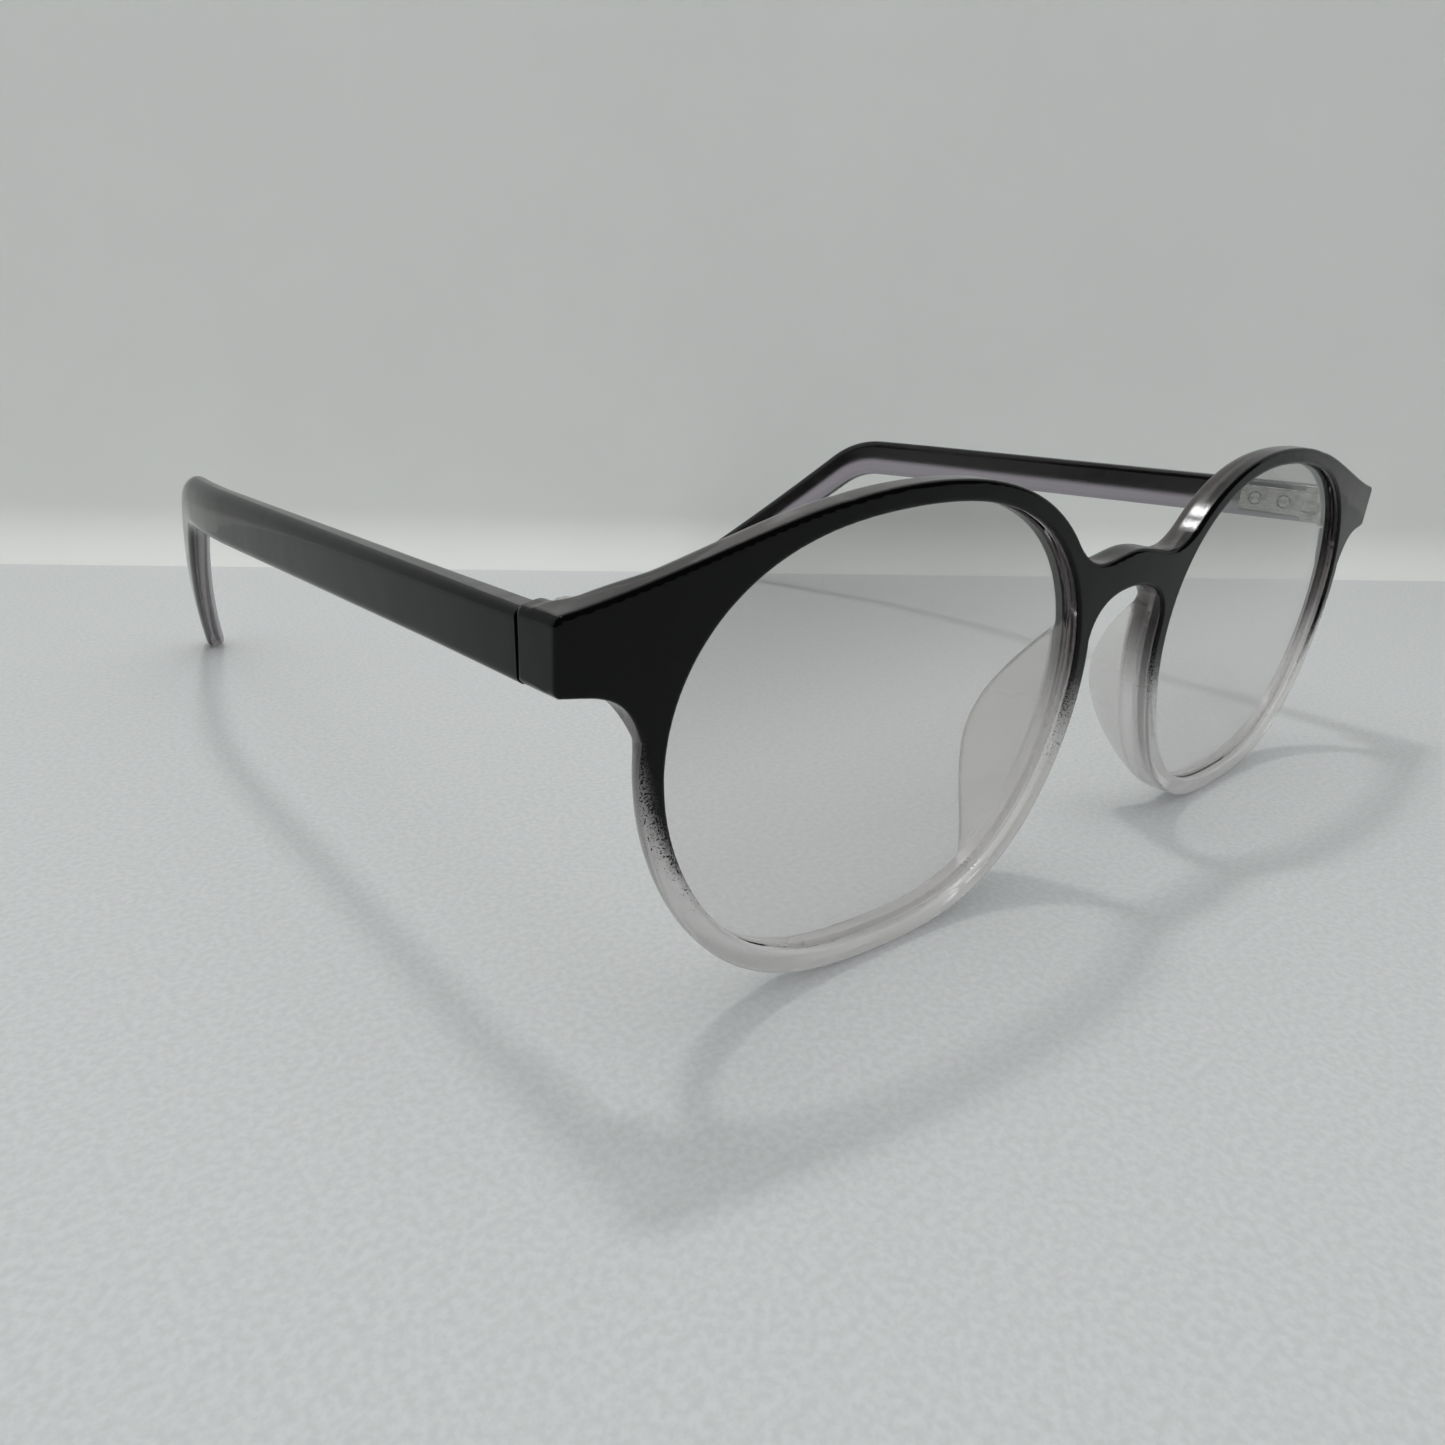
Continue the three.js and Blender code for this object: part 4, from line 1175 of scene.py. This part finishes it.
def lens_material():
    """Grey lens with painted shade that darkens it towards its top, a faint green anti-reflection coat and
    wiping haze.
    """
    n = Nodes("lens_clear")
    height = n.math("DIVIDE", n.add("ShaderNodeSeparateXYZ", {"Vector": n.place}).outputs["Z"], MM)
    cloud = n.math("MULTIPLY", n.noise(*CLOUDS), 6.0)
    # Painted shade: the lens's colour darkens towards its top, with a cloudy edge.
    painted_shade = n.spread(n.math("ADD", height, cloud), *LENS_PAINTED_SHADE_HEIGHTS)
    shader = n.principled({
        "Base Color": n.blend(painted_shade, *LENS_TINT_AND_PAINTED_SHADE),
        "Roughness": n.spread(n.noise(*WIPING), 0.45, 0.8, 0.0, 0.012),
        "Transmission Weight": 1.0,
        "IOR": LENS_IOR,
        "Specular Tint": LENS_REFLECTION,
    })
    return n.finish(n.let_light_through(shader, 1.0, LENS_SHADOW))


def metal(name, bright, dull, dulling, dull_from, finish, gloss, relief):
    """Bare metal: dulling and finish are noise patterns, and gloss is a range of roughness."""
    n = Nodes(name)
    grain = n.noise(*finish)
    return n.finish(n.principled({
        "Base Color": n.blend(n.spread(n.noise(*dulling), 0.4, dull_from), bright, dull),
        "Metallic": 1.0,
        "Roughness": n.spread(grain, 0.3, 0.7, *gloss),
        "Normal": n.bump(grain, relief, 0.5),
    }))


MATERIALS = {
    "frame_plastic": coated_plastic("front_clear_and_black", FRONT_COAT, front_tint, front_haze, faded),
    "temple_plastic": coated_plastic("temple_clear_and_black", TEMPLE_COAT, temple_tint, temple_haze),
    "lens": lens_material(),
    "hinge_metal": metal("hinge_nickel_silver", *NICKEL_SILVER, DULLING, 0.75, BRUSHING, (0.2, 0.38), 1e-5),
    "screw_metal": metal("screw_steel", *STEEL, WEAR, 0.7, TURNING, (0.16, 0.32), 8e-6),
}


# ---- Stage ----
STAGE_GRAIN = (3, 0.55)
FLOOR_REACH = 3.0
FLOOR_LOOK = ("floor_pale", (0.72, 0.735, 0.735, 1), 0.90, 1500)
# The wall stands behind the glasses, square to WALL_FACING, and meets the floor in a small curve.
WALL_LOOK = ("backdrop_pale", (0.82, 0.835, 0.81, 1), 0.98, 30)
WALL_FACING = np.array([0.558, 0.83])
WALL_ALONG = np.array([0.83, -0.558])
WALL_REACH = 1.5
WALL_FOOT = 0.100
WALL_CURVE = 0.012
WALL_HEIGHTS = (0.05, 0.5)
WALL_LIFT = 0.00002  # above the floor


def stage_material(name, colour, mottle, scale, one_sided=False):
    n = Nodes(name)
    darker = (*(c * mottle for c in colour[:3]), 1)
    shader = n.principled({
        "Base Color": n.blend(n.spread(n.noise(scale, *STAGE_GRAIN), 0.3, 0.7), colour, darker),
        "Roughness": 0.85,
        "Specular IOR Level": 0.2,
    })
    if one_sided:
        # From behind, the wall lets the view through, so that it never hides the glasses.
        shader = n.see_through(n.add("ShaderNodeNewGeometry").outputs["Backfacing"], shader)
    return n.finish(shader)


def make_stage():
    corners = np.array([(-1, -1, 0), (1, -1, 0), (1, 1, 0), (-1, 1, 0)]) * FLOOR_REACH
    floor = make_mesh("floor", corners / MM, np.array([(0, 1, 2, 3)]))
    floor.data.materials.append(stage_material(*FLOOR_LOOK))
    bend = np.linspace(0, math.pi / 2, 10)
    distances = [*(WALL_FOOT - WALL_CURVE + WALL_CURVE * np.sin(bend)), WALL_FOOT, WALL_FOOT]
    heights = [*(WALL_CURVE - WALL_CURVE * np.cos(bend)), *WALL_HEIGHTS]
    points = []
    for across in (-WALL_REACH, WALL_REACH):
        for distance, height in zip(distances, heights):
            points.append((*(WALL_FACING * distance + WALL_ALONG * across), height + WALL_LIFT))
    count = len(heights)
    faces = np.array([(i, count + i, count + i + 1, i + 1) for i in range(count - 1)])
    wall = make_mesh("backdrop", np.array(points) / MM, faces)
    wall.data.materials.append(stage_material(*WALL_LOOK, one_sided=True))


# ---- Light: name, place, size and power of each lamp ----
LAMPS = [
    ("lamp_overhead", (-0.01, 0.14, 0.5), 0.075, 1.35),
    ("lamp_side", (0.2, 0.11, 0.47), 0.08, 1.35),
    ("ceiling", (0.0, 0.12, 0.55), 0.6, 0.9),
]
LAMP_TARGET = (0, 0, 0.02)
ROOM_COLOUR = (0.96, 0.97, 0.975, 1)
ROOM_STRENGTH = 0.58


def add_area_light(name, place, size, power):
    data = bpy.data.lights.new(name, "AREA")
    data.shape = "DISK"
    data.size = size
    data.energy = power
    light = link(name, data)
    light.location = place
    light.rotation_euler = (Vector(LAMP_TARGET) - Vector(place)).to_track_quat("-Z", "Y").to_euler()
    light.visible_glossy = name != "ceiling"


def make_lights():
    for lamp in LAMPS:
        add_area_light(*lamp)
    world = bpy.data.worlds.new("soft_room")
    world.use_nodes = True
    background = world.node_tree.nodes["Background"]
    background.inputs["Color"].default_value = ROOM_COLOUR
    background.inputs["Strength"].default_value = ROOM_STRENGTH
    scene = bpy.context.scene
    scene.world = world
    world.cycles_visibility.glossy = False
    scene.view_settings.view_transform = "Standard"
    scene.cycles.use_denoising = True
    scene.cycles.caustics_refractive = False
    scene.cycles.caustics_reflective = False


# ---- Assembly ----
make_camera()
front = make_front()
settle(front, "front", "front_frame", "frame_plastic")
for label, side in SIDES:
    settle(make_lens(label, side), "front", f"lens_{label}", "lens")
    settle(make_temple(label, side), f"{label}_arm", f"temple_{label}", "temple_plastic")
make_hardware()
make_stage()
make_lights()
